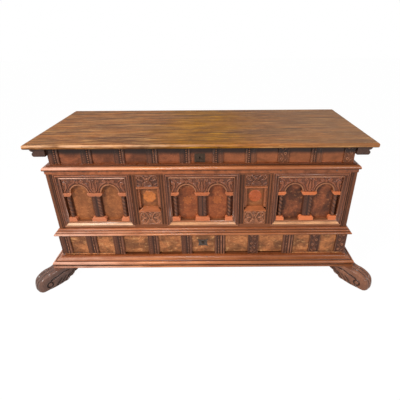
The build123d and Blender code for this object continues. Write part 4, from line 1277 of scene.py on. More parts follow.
HEAD_RINGS = 5
BEAD_LOOK = {"Unevenness": 0.08, "Sides": 8, "Seed": 3}
BEAD_RISE = 0.85
NAIL_SIDES, NAIL_SEED = 10, 11
NAIL_INSET = 5 * MM
HINGE_NAILS, STRAP_NAILS = 3, 6
FIRST_NAIL, NAIL_RUN = 0.12, 0.62
HEAD_INPUTS = {
    "Radius": "NodeSocketFloat",
    "Rise": "NodeSocketFloat",
    "Pitch": "NodeSocketFloat",
    "Unevenness": "NodeSocketFloat",
    "Sides": "NodeSocketInt",
    "Seed": "NodeSocketInt",
    "Finish": "NodeSocketMaterial",
}


def heads_tree(name, strung):
    """Node tree of round heads: one on every point, or strung at even steps along every line."""
    tree = bpy.data.node_groups.new(name, "GeometryNodeTree")
    for direction in ("INPUT", "OUTPUT"):
        tree.interface.new_socket("Geometry", in_out=direction, socket_type="NodeSocketGeometry")
    for label, kind in HEAD_INPUTS.items():
        tree.interface.new_socket(label, in_out="INPUT", socket_type=kind)
    given = put(tree, "NodeGroupInput").outputs
    radius, places = given["Radius"], given["Geometry"]
    if strung:
        lines = wire(tree, "GeometryNodeMeshToCurve", {"Mesh": places})
        evenly = {"Curve": lines, "Length": given["Pitch"]}
        places = wire(tree, "GeometryNodeResampleCurve", evenly, mode="LENGTH")
    ball = {"Segments": given["Sides"], "Rings": HEAD_RINGS, "Radius": 1.0}
    head = wire(tree, "GeometryNodeMeshUVSphere", ball)
    high = wire(tree, "GeometryNodeInputPosition").axes()[2]
    # On carved timber the finish paints each bead paler towards its crown as a highlight and darker towards
    # its foot as shade.
    stored = {"Geometry": head, "Name": "relief", "Value": high * 0.5 + 0.5}
    head = wire(tree, "GeometryNodeStoreNamedAttribute", stored, data_type="FLOAT", domain="POINT")
    size = vector_of(radius, radius, given["Rise"], tree)
    head = wire(tree, "GeometryNodeTransform", {"Geometry": head, "Scale": size})
    out = wire(tree, "GeometryNodeInputNamedAttribute", {"Name": "facing"}, data_type="FLOAT_VECTOR")
    turned = wire(tree, "FunctionNodeAlignRotationToVector", {"Vector": out}, axis="Z")
    uneven = Flow(tree, given["Unevenness"])
    limits = {"Min": 1.0 - uneven, "Max": uneven + 1.0, "Seed": given["Seed"]}
    chance = wire(tree, "FunctionNodeRandomValue", limits, "Value", data_type="FLOAT")
    spots = {"Points": places, "Instance": head, "Rotation": turned, "Scale": chance}
    heads = wire(tree, "GeometryNodeInstanceOnPoints", spots)
    heads = wire(tree, "GeometryNodeRealizeInstances", {"Geometry": heads})
    heads = wire(tree, "GeometryNodeSetShadeSmooth", {"Geometry": heads})
    heads = wire(tree, "GeometryNodeSetMaterial", {"Geometry": heads, "Material": given["Finish"]})
    put(tree, "NodeGroupOutput", {"Geometry": heads})
    return tree


def set_heads(name, group, strung, places, facing, body, material, slot, edges=(), **amounts):
    """Runs a heads tree over the places and keeps the result as one plain piece."""
    tree = bpy.data.node_groups.get(group) or heads_tree(group, strung)
    seeds = bpy.data.meshes.new(name + " places")
    seeds.from_pydata(places, list(edges), [])
    ways = seeds.attributes.new("facing", "FLOAT_VECTOR", "POINT")
    ways.data.foreach_set("vector", np.array(facing).ravel())
    made = bpy.data.objects.new(name, seeds)
    bpy.context.scene.collection.objects.link(made)
    heads = made.modifiers.new("heads", "NODES")
    heads.node_group = tree
    values = {**amounts, "Finish": bpy.data.materials[material]}
    for item in tree.interface.items_tree:
        if item.in_out == "INPUT" and item.name in values:
            heads[item.identifier] = values[item.name]
    made.update_tag()
    shaped = made.evaluated_get(bpy.context.evaluated_depsgraph_get())
    mesh = bpy.data.meshes.new_from_object(shaped)
    made.modifiers.remove(heads)
    made.data = mesh
    mesh.name = name
    bpy.data.meshes.remove(seeds)
    if not len(mesh.polygons):
        raise RuntimeError(f"{name}: no heads were made")
    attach(made, body)


def bead_strings(name, strings, body):
    """Strings of turned beads down the channels of the carved blocks."""
    places = [end for ends, _ in strings for end in ends]
    facing = [out for _, out in strings for _ in range(2)]
    edges = [(2 * k, 2 * k + 1) for k in range(len(strings))]
    radius = sizes().bead_radius
    set_heads(
        name, "bead strings", True, places, facing, body, "carved walnut", "dark_walnut", edges,
        Radius=radius, Rise=BEAD_RISE * radius, Pitch=sizes().bead_pitch, **BEAD_LOOK,
    )


def nail_places(node, spots, facing):
    """Drops each spot, a pair across and up, onto the surface of a node seen along facing."""
    mesh = NODES[node].data
    tree = BVHTree.FromPolygons([v.co for v in mesh.vertices], [p.vertices[:] for p in mesh.polygons])
    out = Vector(facing)
    places = []
    for first, second in spots:
        start = Vector((first, 0, second)) if out.y else Vector((first, second, 0))
        hit, normal, _, _ = tree.ray_cast(start + 2 * out, -out)
        if hit is None:
            raise RuntimeError(f"{node}: no surface under a nail at {first:.3f}, {second:.3f}")
        places.append((hit, normal))
    return places


def nail(name, body, groups, radius, rise, unevenness, material="wrought iron", slot="wrought_iron"):
    """Drives forged nails of one size, as shares of the set size, into several nodes of one body."""
    found = [pair for node, spots, out in groups for pair in nail_places(node, spots, out)]
    places, facing = zip(*found)
    set_heads(
        name, "forged nails", False, places, facing, body, material, slot,
        Radius=radius * sizes().nail_radius, Rise=rise * sizes().nail_rise, Pitch=1.0,
        Unevenness=unevenness, Sides=NAIL_SIDES, Seed=NAIL_SEED,
    )


def plate_corners(node):
    low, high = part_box(node)
    across, upwards = ((low[axis] + NAIL_INSET, high[axis] - NAIL_INSET) for axis in (0, 2))
    return [(x, z) for x in across for z in upwards]


def strap_spots(node, count, upright):
    """Nails along each leaf of a hinge, in a zigzag."""
    spots = []
    for low, high in solids(node):
        first, last = (low.z, high.z) if upright else (low.y, high.y)
        middle = (low.x + high.x) / 2
        for k in range(count):
            run = first + (last - first) * (FIRST_NAIL + NAIL_RUN * k / (count - 1))
            spots.append((middle + NAIL_INSET * (-1) ** k, run))
    return spots


KEY_RADIUS, KEY_SLOT, KEY_DROP = 4.0 * MM, 2.0 * MM, 12.0 * MM
KEY_RISE = 10.0 * MM
PLATE_STEPS, PLATE_SHARP = 30, 30
PLATE_CORNERS = ((32.5, 22.0), (-32.5, 22.0), (-30.5, -28.0), (32.0, -29.0))
PLATE_SIDES = ((0.0, 14.5), (-24.0, -3.0), (0.0, -24.5), (23.5, -3.5))
# Height of the plate by the share of the way from its keyhole to its edge, and its flat back.
PLATE_SECTION = (
    (0.0, 0.70), (0.05, 1.0), (0.13, 0.95), (0.22, 0.70), (0.5, 0.62), (0.86, 0.60), (0.96, 0.50),
    (1.0, 0.2), (1.0, 0.0), (0.0, 0.0),
)


def forge_plate():
    """The drawer's plate, drawn out to four corners, with a lip round its keyhole."""
    low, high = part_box("drawer_escutcheon")
    eye = np.array(((low.x + high.x) / 2, (low.z + high.z) / 2 + KEY_RISE))
    outer = []
    for k, side in enumerate(PLATE_SIDES):
        first, last, middle = map(np.array, (PLATE_CORNERS[k], PLATE_CORNERS[(k + 1) % 4], side))
        bend = 2 * middle - (first + last) / 2
        for t in np.linspace(0, 1, PLATE_STEPS, endpoint=False):
            outer.append(first * (1 - t) ** 2 + bend * 2 * t * (1 - t) + last * t**2)
    outer = np.array(outer) * MM
    turn = np.arctan2(outer[:, 1], outer[:, 0])
    cosine, sine = np.cos(turn), np.sin(turn)
    slot = np.minimum(KEY_DROP / np.maximum(-sine, TINY), KEY_SLOT / np.maximum(np.abs(cosine), TINY))
    hole = np.maximum(KEY_RADIUS, np.where(sine < 0, slot, 0))
    inner = np.stack([hole * cosine, hole * sine], -1)
    points = []
    for share, out in PLATE_SECTION:
        flat = eye + inner * (1 - share) + outer * share
        points.extend((x, high.y - out * (high.y - low.y), z) for x, z in flat)
    work = Work()
    work.add(points, ring_faces(len(PLATE_SECTION), len(outer), True), [1.0] * len(points))
    work.piece("forged_plate", "wrought iron", "drawer", "drawer_escutcheon", "wrought_iron", PLATE_SHARP)


def ring_faces(rings, count, joined=False):
    """Faces between closed rings of points, and back to the first ring where they are joined."""
    faces = []
    for ring in range(rings if joined else rings - 1):
        after = (ring + 1) % rings
        for k in range(count):
            here, beside = ring * count, (k + 1) % count
            faces.append((here + k, after * count + k, after * count + beside, here + beside))
    return faces


PIN_SPOTS = {
    "cornice": ((-0.53, 0.680), (-0.045, 0.681), (0.41, 0.680), (0.70, 0.679)),
    "top_rail": ((-0.46, 0.676), (0.20, 0.675)),
    "belt_moulding": ((-0.66, 0.322), (-0.29, 0.324), (0.12, 0.322), (0.33, 0.3235), (0.62, 0.322)),
    "base_moulding": ((-0.70, 0.147), (-0.38, 0.113), (0.02, 0.146), (0.47, 0.113), (0.64, 0.146)),
}


class CASSONE_OT_nails(bpy.types.Operator):
    """Forges the drawer's plate and drives the nails of the ironwork and the pins of the mouldings"""

    bl_idname = "cassone.nails"
    bl_label = "Nails"

    def execute(self, context):
        front, back, under = (0, -1, 0), (0, 1, 0), (0, 0, -1)
        leaves = strap_spots("hinge_leaves", HINGE_NAILS, True)
        straps = strap_spots("lid_straps", STRAP_NAILS, False)
        corners = plate_corners("chest_escutcheon")
        forge_plate()
        nail("hinge_leaf_nails", "carcass", [("hinge_leaves", leaves, back)], 1.4, 1.0, 0.12)
        nail("strap_nails", "lid", [("lid_straps", straps, under)], 1.4, 1.0, 0.12)
        nail("plate_nails", "carcass", [("chest_escutcheon", corners, front)], 0.8, 1.0, 0.10)
        pins = [(node, spots, front) for node, spots in PIN_SPOTS.items()]
        nail("moulding_pins", "carcass", pins, 0.9, 0.35, 0.3, "old pins", "dark_walnut")
        return {"FINISHED"}


# ---------------------------------------------------------------- arcades

# Leaves of a spandrel: line and widths in mm, height as a share, and the scroll at the tip, which is its
# centre and radius in mm, the angle where it starts and the way it winds.
MIDDLE_LEAVES = (
    (((3, 3), (12, 16), (17, 36), (13, 54), (17, 66)), (2.0, 4.6, 4.6, 3.4, 2.2), 1.0,
     ((25, 69), 8.0, 180, -1)),
    (((10, 2), (19, 5), (25, 14), (27, 28)), (1.5, 3.6, 3.6, 1.0), 0.85, None),
)
ARCH_LEAVES = (
    (((26, 22), (32, 34), (43, 48), (58, 57), (65, 62)), (1.5, 4.6, 5.2, 4.2, 2.4), 1.0,
     ((58.5, 68.5), 8.0, -30, 1)),
    (((82.5, 56), (75, 64), (73, 76)), (1.8, 3.8, 1.0), 0.9, None),
    (((30, 44), (37, 55), (44, 60)), (1.2, 3.2, 1.0), 0.8, None),
)
OUTER_LEAVES = (
    (((82.5, 54), (82.5, 66), (82.5, 80)), (2.4, 4.6, 1.2), 1.0, None),
    (((163, 3), (154, 18), (147, 34), (147, 48)), (2.6, 5.2, 5.0, 2.4), 1.0,
     ((154.5, 53), 7.5, 180, -1)),
    (((164, 78), (152, 76), (138, 66), (132, 56)), (1.6, 4.4, 4.0, 1.0), 0.9, None),
    (((160, 20), (164, 32), (161, 42)), (1.2, 3.0, 1.0), 0.8, None),
)
ARCH_MIRROR = 165
SPANDREL_GAP = 0.3 * MM
SPANDREL_GROUND = 3.0 * MM
SPANDREL_SUNK = 1.5 * MM
SPANDREL_FADE, SPANDREL_BORDER, BORDER_HEIGHT = 0.9 * MM, 2.4 * MM, 0.55
SPANDREL_SPOKES, SPANDREL_RINGS = 181, 41
LEAF_FULLNESS, LEAF_VEIN, LEAF_LOBES, LEAF_BITE = 1.45, 0.16, 4, 0.26
CURL_TURNS, CURL_CLOSE, BUTTON_SHARE = 1.15, 0.30, 0.34


def curled_leaf(face, turn, line, widths, height=1.0, curl=None):
    """A lobed leaf along a line in mm, with a scroll and a button at its tip."""
    line = list(line)
    if curl:
        centre, radius, start, hand = curl
        line += volute(centre, radius, CURL_TURNS, math.radians(start), hand, CURL_CLOSE)
        button = turn([centre])[0]
        face.dome(button[0] * MM, button[1] * MM, BUTTON_SHARE * radius * MM, height)
    points = [(u * MM, v * MM) for u, v in turn(line)]
    widths = [LEAF_FULLNESS * w * MM for w in widths]
    face.stroke(points, widths, height, LEAF_VEIN, LEAF_LOBES, LEAF_BITE)


def spandrel_pattern(face):
    """Scrolled leaves over two arches and a palmette between them."""
    curled_leaf(face, list, [(0, 2), (0, 30), (0, 64)], [3.0, 7.0, 5.5, 1.5])
    face.dome(0, 73 * MM, 7 * MM, 1.0, 0.6)
    for turn in (list, mirrored):

        def flipped(points, turn=turn):
            return turn([(ARCH_MIRROR - u, v) for u, v in points])

        for leaf in MIDDLE_LEAVES:
            curled_leaf(face, turn, *leaf)
        for flip in (turn, flipped):
            for leaf in ARCH_LEAVES:
                curled_leaf(face, flip, *leaf)
        for leaf in OUTER_LEAVES:
            curled_leaf(face, turn, *leaf)


def carve_spandrels(node, name, material):
    """Leaves between the arches and the top of an arcade board, and a palmette over the middle."""
    low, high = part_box(node)
    work = Work()
    middle = (low.x + high.x) / 2
    half, tall = (high.x - low.x) / 2 - SPANDREL_GAP, high.z - low.z - SPANDREL_GAP
    ground = low.y + SPANDREL_GROUND
    for hand in (-1, 1):
        angle, share = np.meshgrid(
            np.linspace(0, math.pi, SPANDREL_SPOKES), np.linspace(0, 1, SPANDREL_RINGS)
        )
        cosine, sine = np.cos(angle), np.sin(angle)
        wide = np.where(cosine * hand > 0, half - ARCH_OFFSET, ARCH_OFFSET)
        border = np.minimum(wide / np.maximum(np.abs(cosine), TINY), tall / np.maximum(sine, TINY))
        away = ARCH_RING + (border - ARCH_RING) * share
        u, v = hand * ARCH_OFFSET + away * cosine, away * sine
        face = Face(2 * half, tall, 0.08, grid=(u, v))
        face.rough_ground(0.07)
        spandrel_pattern(face)
        face.raise_to(BORDER_HEIGHT, v > tall - SPANDREL_BORDER)
        inset = np.minimum(np.minimum(tall - v, half - np.abs(u)), away - ARCH_RING)
        face.h *= unit(inset / SPANDREL_FADE)
        raised = ground - sizes().spandrel_relief * face.h
        front = np.stack([middle + u, raised, low.z + v], -1)[:, ::-1]

        def back_of(point):
            return np.array((point[0], ground + SPANDREL_SUNK, point[2]))

        closed_slab(work, front, shown(face.h, 0.12)[:, ::-1], back_of)
    work.piece(name, material, "carcass", None, "walnut")


class CASSONE_OT_arcades(bpy.types.Operator):
    """Carves the leaves over the arches"""

    bl_idname = "cassone.arcades"
    bl_label = "Arcade carving"

    def execute(self, context):
        for place in ("left", "centre", "right"):
            carve_spandrels(f"arcade_{place}", f"spandrel_{place}", "spandrel walnut")
        return {"FINISHED"}


# ---------------------------------------------------------------- columns

COLUMN_STEP = 1.5 * MM
WIDE_COLUMN = 40 * MM
COLUMN_TAPER, COLUMN_NECK, THINNEST = 3 * MM, 0.55, 0.2 * MM


def carve_columns():
    """Drums carved in the round: leaves and a cord on the wide ones, one twisted cord on the narrow."""
    work = Work()
    relief = sizes().column_relief
    for low, high in solids("columns"):
        width, tall = high.x - low.x, high.z - low.z
        face = Face(width, tall, step=COLUMN_STEP)
        if width > WIDE_COLUMN:
            face.raise_to(0.40)
            face.scales(-0.24 * width, 0.44 * width, 0.34 * width)
            face.groove(0.02 * width, 0.10 * width)
            face.rope(0.27 * width, 0.42 * width, 0.36 * width, 1.0, 1.0, 0.95)
            drum = round_over(2 * face.u / width, 4)
        else:
            face.rope(0, width * 1.1, 0.85 * width, 1.0, 1.0, 0.95)
            drum = round_over(2 * face.u / width)
        ends = unit(np.minimum(face.v, tall - face.v) / COLUMN_TAPER, COLUMN_NECK)
        out = drum * (high.y - low.y) - relief * (1 - face.h) * drum
        out = np.maximum(out * ends, THINNEST)
        front = np.stack([(low.x + high.x) / 2 + face.u, high.y - out, low.z + face.v], -1)

        def back_of(point, back=high.y):
            return np.array((point[0], back, point[2]))

        closed_slab(work, front, shown(face.h), back_of)
    work.piece("carved_columns", "column walnut", "carcass", "columns", "dark_walnut")


class CASSONE_OT_columns(bpy.types.Operator):
    """Carves the columns: leaves and a twisted shaft"""

    bl_idname = "cassone.columns"
    bl_label = "Columns"

    def execute(self, context):
        carve_columns()
        return {"FINISHED"}


# ---------------------------------------------------------------- narrow panels

NARROW_STEP = 1.3 * MM
NARROW_SPLIT = 0.5
DISC_SPOKES, DISC_RINGS = 144, 18
DISC_BACK = 0.4 * MM
PETAL_SEAM, PETAL_START, DISC_EYE, DISC_BRIM = 0.9 * MM, 0.22, 0.24, 0.10


def scroll_block(face, upper):
    """Four scrolls from a middle boss, with a half shell below."""
    w, tall = face.width, face.height

    def leaf(turn, points, widths, height, vein=0.0, lobes=0):
        line = [(u * w, v * tall) for u, v in points]
        face.stroke(turn(line), [width * w for width in widths], height, vein, lobes)

    face.rough_ground(0.10)
    face.border(0.055 * w, 0.75)
    for hand, turn in ((1, list), (-1, mirrored)):
        for up in (1, -1):
            if up < 0 and upper:
                continue
            centre = (0.335 * w, tall * (0.5 + 0.24 * up))
            scroll = volute(centre, 0.105 * w, 1.35, math.pi * (0.5 if up > 0 else 1.5), -up)
            root = [(0.06 * w, tall * (0.52 + 0.04 * up)), (0.18 * w, tall * (0.5 + 0.36 * up))]
            face.stroke(turn([*root, *scroll]), [0.035 * w, 0.040 * w, 0.030 * w, 0.018 * w], 1.0, 0.25)
            face.dome(hand * centre[0], centre[1], 0.028 * w)
            side = ((0.16, 0.5), (0.26, 0.5 + 0.02 * up), (0.43, 0.5 + 0.10 * up))
            leaf(turn, side, (0.02, 0.045, 0.01), 0.85, 0.3, 3)
        leaf(turn, ((0.24, 0.94), (0.36, 0.93), (0.45, 0.80)), (0.01, 0.03, 0.01), 0.8, 0.3, 3)
        leaf(turn, ((0.27, 0.10), (0.36, 0.22), (0.46, 0.34)), (0.02, 0.05, 0.01), 0.85, 0.35, 3)
    face.shell(0, 0.055 * w, 0.235 * w, 9, 0.85, 0.17)
    face.dome(0, tall * 0.66, 0.095 * w, 1.0, 0.45)
    leaf(list, ((-0.11, 0.82), (0, 0.90), (0.11, 0.82)), (0.02, 0.035, 0.02), 0.9)


def carve_narrow_blocks():
    work = Work()
    for low, high in solids("narrow_blocks"):
        face = Face(high.x - low.x, high.z - low.z, step=NARROW_STEP)
        scroll_block(face, low.z > NARROW_SPLIT)
        on_front(work, face, low, high, high.y - low.y, sizes().narrow_relief)
    work.piece("narrow_carving", "lit carving", "carcass", "narrow_blocks", "dark_walnut")


def inlay_disc(name, box, lobes, notch, material):
    """A veneer flower let into the field: petals cut by fine lines round a small eye."""
    low, high = box
    centre = Vector(((low.x + high.x) / 2, low.y, (low.z + high.z) / 2))
    radius = (high.x - low.x) / 2
    angle, share = np.meshgrid(
        np.linspace(0, 2 * math.pi, DISC_SPOKES, endpoint=False), np.linspace(0.02, 1, DISC_RINGS)
    )
    reach = radius * (1 - notch * (0.5 + 0.5 * np.cos(lobes * angle)))
    seam = (angle / (2 * math.pi) * lobes) % 1.0
    seam = np.minimum(seam, 1 - seam) * 2 * math.pi / lobes * share * radius
    cut = bell(seam, PETAL_SEAM) * (share > PETAL_START)
    brim = unit((1 - share) / DISC_BRIM) ** 0.5
    height = unit(brim * (1 - 0.55 * cut - 0.6 * bell(share - DISC_EYE, 0.035)))
    out = DISC_BACK + height * (high.y - low.y - DISC_BACK)
    x = centre.x + reach * share * np.cos(angle)
    z = centre.z + reach * share * np.sin(angle)
    points = np.stack([x, high.y - out, z], -1).reshape(-1, 3)
    back = points[-DISC_SPOKES:].copy()
    back[:, 1] = high.y
    count = len(points)
    faces = ring_faces(DISC_RINGS + 1, DISC_SPOKES)
    faces.append(tuple(range(DISC_SPOKES)))
    faces.append(tuple(count + k for k in reversed(range(DISC_SPOKES))))
    work = Work()
    work.add(np.vstack([points, back]), faces, [*shown(height, 0.2).ravel(), *[0.4] * DISC_SPOKES])
    work.piece(name, material, "carcass", "rosettes", "fruitwood_inlay")


class CASSONE_OT_narrow_panels(bpy.types.Operator):
    """Carves the scroll blocks and lays the inlaid flowers"""

    bl_idname = "cassone.narrow_panels"
    bl_label = "Narrow panels"

    def execute(self, context):
        carve_narrow_blocks()
        left, right = solids("rosettes")
        inlay_disc("inlaid_flower", left, 8, 0.11, "golden inlay")
        inlay_disc("inlaid_round", right, 12, 0.03, "red inlay")
        return {"FINISHED"}


# ---------------------------------------------------------------- feet

FOOT_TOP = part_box("foot_front_right")[1].z
FOOT_HALF = 40.0 * MM
TOE_CENTRE, TOE_RADIUS, TOE_SOFT = 77.9 * MM, 41.8 * MM, 4.0 * MM
BASE_CORNER = Vector((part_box("base_moulding")[1].x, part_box("base_moulding")[0].y))
# Lines of a foot seen from the side, in mm out along the diagonal and up.
OUTER_LINE = (
    (-150, 98), (-100, 98), (-50, 98), (-10, 98), (33, 98), (58, 92), (81, 81), (101, 63), (114, 40),
    (119.5, 20), (115, 6), (105, 0.4), (91, 0.0), (73, 0.0),
)
LOBES = (
    ((-150, 98), (-142, 78), (-126, 66)),
    ((-126, 66), (-115, 50), (-96, 44)),
    ((-96, 44), (-84, 28), (-64, 24)),
    ((-64, 24), (-50, 9), (-32, 7)),
    ((-32, 7), (0, 2), (32, 0)),
    ((32, 0), (52, 0), (73, 0)),
)
NOTCHES = ((-126, 66), (-96, 44), (-64, 24), (-36, 8), (-10, 3), (14, 1))
EYE = (50.0 * MM, 27.0 * MM)
EYE_RING = 16.0 * MM
CHEEK_DEPTH = 8.0 * MM
ROLL_RADIUS = 15.0 * MM
ROLL_GROOVE, GROOVE_PLACE, GROOVE_WIDTH = 5.0 * MM, 13 * MM, 3.6 * MM
# Relief of the foot's hidden top and underside; the grooves get lower relief, which the finish paints
# darker as shade.
HIDDEN_RELIEF, UNDER_RELIEF = 0.7, 0.6
OUTER_COUNT, LOBE_STEPS = 400, 14
CHEEK_FADE_IN, CHEEK_FADE_OUT = 0.05, 0.04
PATCH_GAP = 0.05 * MM
LARGEST_HOLE = 60
LENGTH_COUNT, WIDTH_COUNT, CHEEK_COUNT, UNDER_COUNT = 170, 45, 44, 5
FOOT_SHARP = 60


def ease(value, start, length):
    """0 up to the start and 1 past the length, both in mm."""
    return unit((value - start * MM) / (length * MM))


def foot_outlines(count):
    outer = smooth_line(OUTER_LINE, OUTER_COUNT) * MM
    outer[:, 1] = np.clip(outer[:, 1], 0, FOOT_TOP)
    inner = []
    for lobe in LOBES:
        a, b, c = map(np.array, lobe)
        for t in np.linspace(0, 1, LOBE_STEPS, endpoint=False):
            inner.append(a * (1 - t) * (1 - 2 * t) + b * 4 * t * (1 - t) + c * t * (2 * t - 1))
    inner = np.array([*inner, LOBES[-1][2]], float) * MM
    return even_line(outer, count), even_line(inner, count)


def cheek_depth(ct, cz, from_back):
    """How far a cheek is cut back, as a share: an eye in its ring, a channel under the roll and leaves."""
    away = np.hypot(ct - EYE[0], cz - EYE[1])
    outside = away > EYE_RING
    ring = bell(away - EYE_RING, 4.6 * MM)
    button = 0.45 * ease(away, 0, 14) ** 2 * (away < EYE_RING)
    trail = ease(-ct, -52, 12) * ease(ct, -82, 20)
    channel = bell(from_back - 38 * MM, (4.6 + 5.0 * ease(ct, -10, 50)) * MM) * trail
    shoulder = 0.42 * ease(from_back, 12, 24) ** 2 * outside
    veins = np.zeros_like(ct)
    for tip_t, tip_z in NOTCHES:
        up = cz - tip_z * MM
        slant = (ct - tip_t * MM + 0.9 * up) / 1.35
        run = ease(-up, -50, 18)
        veins = np.maximum(veins, run * bell(slant, 4.0 * MM))
        veins = np.maximum(veins, 0.35 * run * bell(slant - 9.0 * MM, 1.8 * MM))
    leafy = np.maximum(ease(from_back, 38, 4), ease(-ct, 55, 15))
    leafy = leafy * ease(-ct, -36, 10) * outside
    cut = np.where(leafy > 0, shoulder * (1 - leafy) + leafy * (0.12 + 0.88 * veins), shoulder)
    return np.maximum(np.maximum(ring, channel), np.maximum(cut, button))


def inside_toe(t, w):
    """Keeps a point inside the round plan of the toe."""
    limit = TOE_CENTRE + np.sqrt(np.clip(TOE_RADIUS**2 - w**2, 0, None))
    eased = limit - TOE_SOFT * np.log1p(np.exp(-(t - limit) / TOE_SOFT))
    return np.where(t > limit - 3 * TOE_SOFT, eased, t)


def carve_foot(name, node, hand, material):
    """A scroll on the diagonal: rolls along its back, a volute and leaves on its cheeks."""
    outer, inner = foot_outlines(LENGTH_COUNT)
    work = Work()
    outward = np.array((hand, -1.0)) / math.sqrt(2)
    sideways = np.array((1.0, hand)) / math.sqrt(2)
    corner = np.array((hand * BASE_CORNER.x, BASE_CORNER.y))

    def place(t, w, z):
        flat = corner + t[..., None] * outward + w[..., None] * sideways
        return np.concatenate([flat, np.clip(z, 0, None)[..., None]], -1)

    tangent = np.gradient(outer, axis=0)
    tangent /= np.maximum(np.linalg.norm(tangent, axis=1), TINY)[:, None]
    free = (ease(outer[:, 0], -8, 34) * ease(outer[:, 1], 0.5, 9))[:, None]
    w = np.linspace(-FOOT_HALF, FOOT_HALF, WIDTH_COUNT)
    within = np.clip(ROLL_RADIUS - FOOT_HALF + np.abs(w), 0, None)
    groove = bell(np.abs(w) - GROOVE_PLACE, GROOVE_WIDTH)
    sink = (ROLL_RADIUS - np.sqrt(ROLL_RADIUS**2 - within**2) + ROLL_GROOVE * groove) * free
    z = outer[:, 1, None] - tangent[:, 0, None] * sink
    wide = np.broadcast_to(w, z.shape)
    t = inside_toe(outer[:, 0, None] + tangent[:, 1, None] * sink, wide)
    work.patch(place(t, wide, z), unit((1 - groove) * free + (1 - free) * HIDDEN_RELIEF), hand > 0)

    share = np.linspace(0, 1, CHEEK_COUNT)
    fade = unit(share / CHEEK_FADE_IN) * unit((1 - share) / CHEEK_FADE_OUT)
    for side in (-1, 1):
        column = 0 if side < 0 else -1
        edge_t, edge_z = t[:, column, None], z[:, column, None]
        ct = edge_t * (1 - share) + inner[:, 0, None] * share
        cz = edge_z * (1 - share) + inner[:, 1, None] * share
        depth = CHEEK_DEPTH * unit(cheek_depth(ct, cz, np.hypot(ct - edge_t, cz - edge_z))) * fade
        cheek = place(ct, side * (FOOT_HALF - depth), cz)
        work.patch(cheek, unit(1 - depth / CHEEK_DEPTH), side != hand)

    it, iz = (np.repeat(inner[:, axis, None], UNDER_COUNT, 1) for axis in (0, 1))
    under_w = np.broadcast_to(np.linspace(-FOOT_HALF, FOOT_HALF, UNDER_COUNT), it.shape)
    work.patch(place(it, under_w, iz), np.full(it.shape, UNDER_RELIEF), hand < 0)
    close_mesh(work.piece(name, material, "carcass", node, "dark_walnut", FOOT_SHARP))


def close_mesh(made):
    """Joins the patches of a piece and turns their faces outwards."""
    shell = bmesh.new()
    shell.from_mesh(made.data)
    bmesh.ops.remove_doubles(shell, verts=shell.verts, dist=PATCH_GAP)
    bmesh.ops.dissolve_degenerate(shell, dist=WELD_GAP, edges=shell.edges)
    loose = [edge for edge in shell.edges if edge.is_boundary]
    if loose:
        bmesh.ops.holes_fill(shell, edges=loose, sides=LARGEST_HOLE)
    bmesh.ops.recalc_face_normals(shell, faces=shell.faces)
    shell.to_mesh(made.data)
    shell.free()
    made.data.set_sharp_from_angle(angle=math.radians(FOOT_SHARP))


class CASSONE_OT_feet(bpy.types.Operator):
    """Carves the two scroll feet"""

    bl_idname = "cassone.feet"
    bl_label = "Scroll feet"

    def execute(self, context):
        carve_foot("foot_carving_left", "foot_front_left", -1, "foot walnut")
        carve_foot("foot_carving_right", "foot_front_right", 1, "red foot walnut")
        return {"FINISHED"}


# ---------------------------------------------------------------- the studio

FLOOR_REACH = 14.0
FLOOR_GREY, FLOOR_ROUGHNESS, FLOOR_SHINE = (0.50, 0.50, 0.50, 1.0), 0.9, 0.1
FLOOR_GLOW, FLOOR_GLOW_SHARE = 1.04, 0.95
SKY_FILL, SKY_SEEN = 0.14, 0.86
CAMERA_PLACE = (0.066034, -1.838814, 1.348)
CAMERA_DIP, CAMERA_ROLL = math.radians(28.0375), -0.0067
CAMERA_LENS, CAMERA_SENSOR, CAMERA_SHIFT = 29.64, 36.0, -0.036
WHITE = (1.0, 1.0, 1.0, 1.0)
# Name, place, target, width, height, power and colour of each lamp.
LAMPS = (
    ("key", (-2.1, -2.7, 2.3), (0.0, -0.2, 0.45), 0.7, 0.6, 98.0, (1.0, 0.975, 0.94)),
    ("fill", (1.8, -3.4, 1.5), (0.0, -0.2, 0.4), 1.0, 0.8, 44.0, WHITE[:3]),
    ("overhead", (-0.85, -0.95, 3.0), (-0.4, -0.15, 0.5), 0.9, 0.24, 40.0, WHITE[:3]),
)


def soft_lamp(name, place, target, width, height, power, colour):
    data = bpy.data.lights.new(name, "AREA")
    data.shape = "RECTANGLE"
    data.size = width
    data.size_y = height
    data.energy = power
    data.color = colour
    lamp = bpy.data.objects.new(name, data)
    lamp.location = place
    lamp.rotation_euler = (Vector(target) - Vector(place)).to_track_quat("-Z", "Y").to_euler()
    bpy.context.scene.collection.objects.link(lamp)


def seen_directly(tree):
    """1 for what the camera, a mirror or a glass sees."""
    path = put(tree, "ShaderNodeLightPath").outputs
    camera, glossy = (Flow(tree, path[f"Is {kind} Ray"]) for kind in ("Camera", "Glossy"))
    return (camera + glossy + path["Is Transmission Ray"]).clamped()


def build_floor():
    mesh = bpy.data.meshes.new("studio floor")
    corners = [(x * FLOOR_REACH, y * FLOOR_REACH, 0) for x, y in ((-1, -1), (1, -1), (1, 1), (-1, 1))]
    mesh.from_pydata(corners, [], [(0, 1, 2, 3)])
    floor = bpy.data.objects.new("studio_floor", mesh)
    bpy.context.scene.collection.objects.link(floor)
    material, tree, shader = new_material("pale floor")
    fill(tree, shader, Base_Color=FLOOR_GREY, Roughness=FLOOR_ROUGHNESS, Specular_IOR_Level=FLOOR_SHINE)
    glow = wire(tree, "ShaderNodeEmission", {"Strength": FLOOR_GLOW})
    share = seen_directly(tree) * FLOOR_GLOW_SHARE
    mixed = wire(tree, "ShaderNodeMixShader", {0: share, 1: shader.outputs[0], 2: glow})
    tree.links.new(mixed.socket, tree.nodes["Material Output"].inputs[0])
    mesh.materials.append(material)


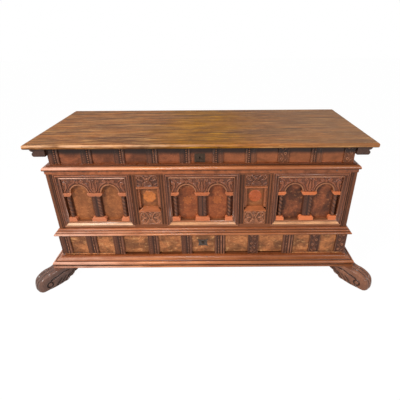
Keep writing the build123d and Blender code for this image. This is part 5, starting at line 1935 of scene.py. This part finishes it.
def build_world():
    world = bpy.data.worlds.new("studio")
    bpy.context.scene.world = world
    world.use_nodes = True
    tree = world.node_tree
    strength = seen_directly(tree) * SKY_SEEN + SKY_FILL
    fill(tree, tree.nodes["Background"], Color=WHITE, Strength=strength)


def build_camera():
    data = bpy.data.cameras.new("camera")
    data.sensor_width = CAMERA_SENSOR
    data.lens = CAMERA_LENS
    data.shift_x = CAMERA_SHIFT
    camera = bpy.data.objects.new("camera", data)
    camera.location = CAMERA_PLACE
    tilt = Matrix.Rotation(math.pi / 2 - CAMERA_DIP, 3, "X") @ Matrix.Rotation(CAMERA_ROLL, 3, "Z")
    camera.rotation_euler = tilt.to_euler()
    bpy.context.scene.collection.objects.link(camera)
    bpy.context.scene.camera = camera


class CASSONE_OT_stage(bpy.types.Operator):
    """Sets up the floor, the lamps, the world and the camera"""

    bl_idname = "cassone.stage"
    bl_label = "Studio"

    def execute(self, context):
        build_floor()
        build_world()
        build_camera()
        for lamp in LAMPS:
            soft_lamp(*lamp)
        context.scene.view_settings.view_transform = "Standard"
        return {"FINISHED"}


# ---------------------------------------------------------------- sidebar and order of work


class CASSONE_PT_sidebar(bpy.types.Panel):
    """Lists the steps that dress the cassone"""

    bl_idname = "CASSONE_PT_sidebar"
    bl_label = "Cassone"
    bl_space_type = "VIEW_3D"
    bl_region_type = "UI"
    bl_category = "Cassone"

    def draw(self, context):
        for step in STEPS:
            self.layout.operator(step.bl_idname)


STEPS = (
    CASSONE_OT_stage,
    CASSONE_OT_finishes,
    CASSONE_OT_bands,
    CASSONE_OT_arcades,
    CASSONE_OT_columns,
    CASSONE_OT_narrow_panels,
    CASSONE_OT_feet,
    CASSONE_OT_nails,
)
CLASSES = (CassoneSizes, CassoneFinish, *STEPS, CASSONE_PT_sidebar)


def register():
    for cls in CLASSES:
        bpy.utils.register_class(cls)
    bpy.types.Scene.cassone_sizes = bpy.props.PointerProperty(type=CassoneSizes)
    bpy.types.Scene.cassone_finish = bpy.props.PointerProperty(type=CassoneFinish)


def unregister():
    del bpy.types.Scene.cassone_finish
    del bpy.types.Scene.cassone_sizes
    for cls in reversed(CLASSES):
        bpy.utils.unregister_class(cls)


def main():
    register()
    for step in STEPS:
        space, name = step.bl_idname.split(".")
        getattr(getattr(bpy.ops, space), name)()


if __name__ == "__main__":
    main()
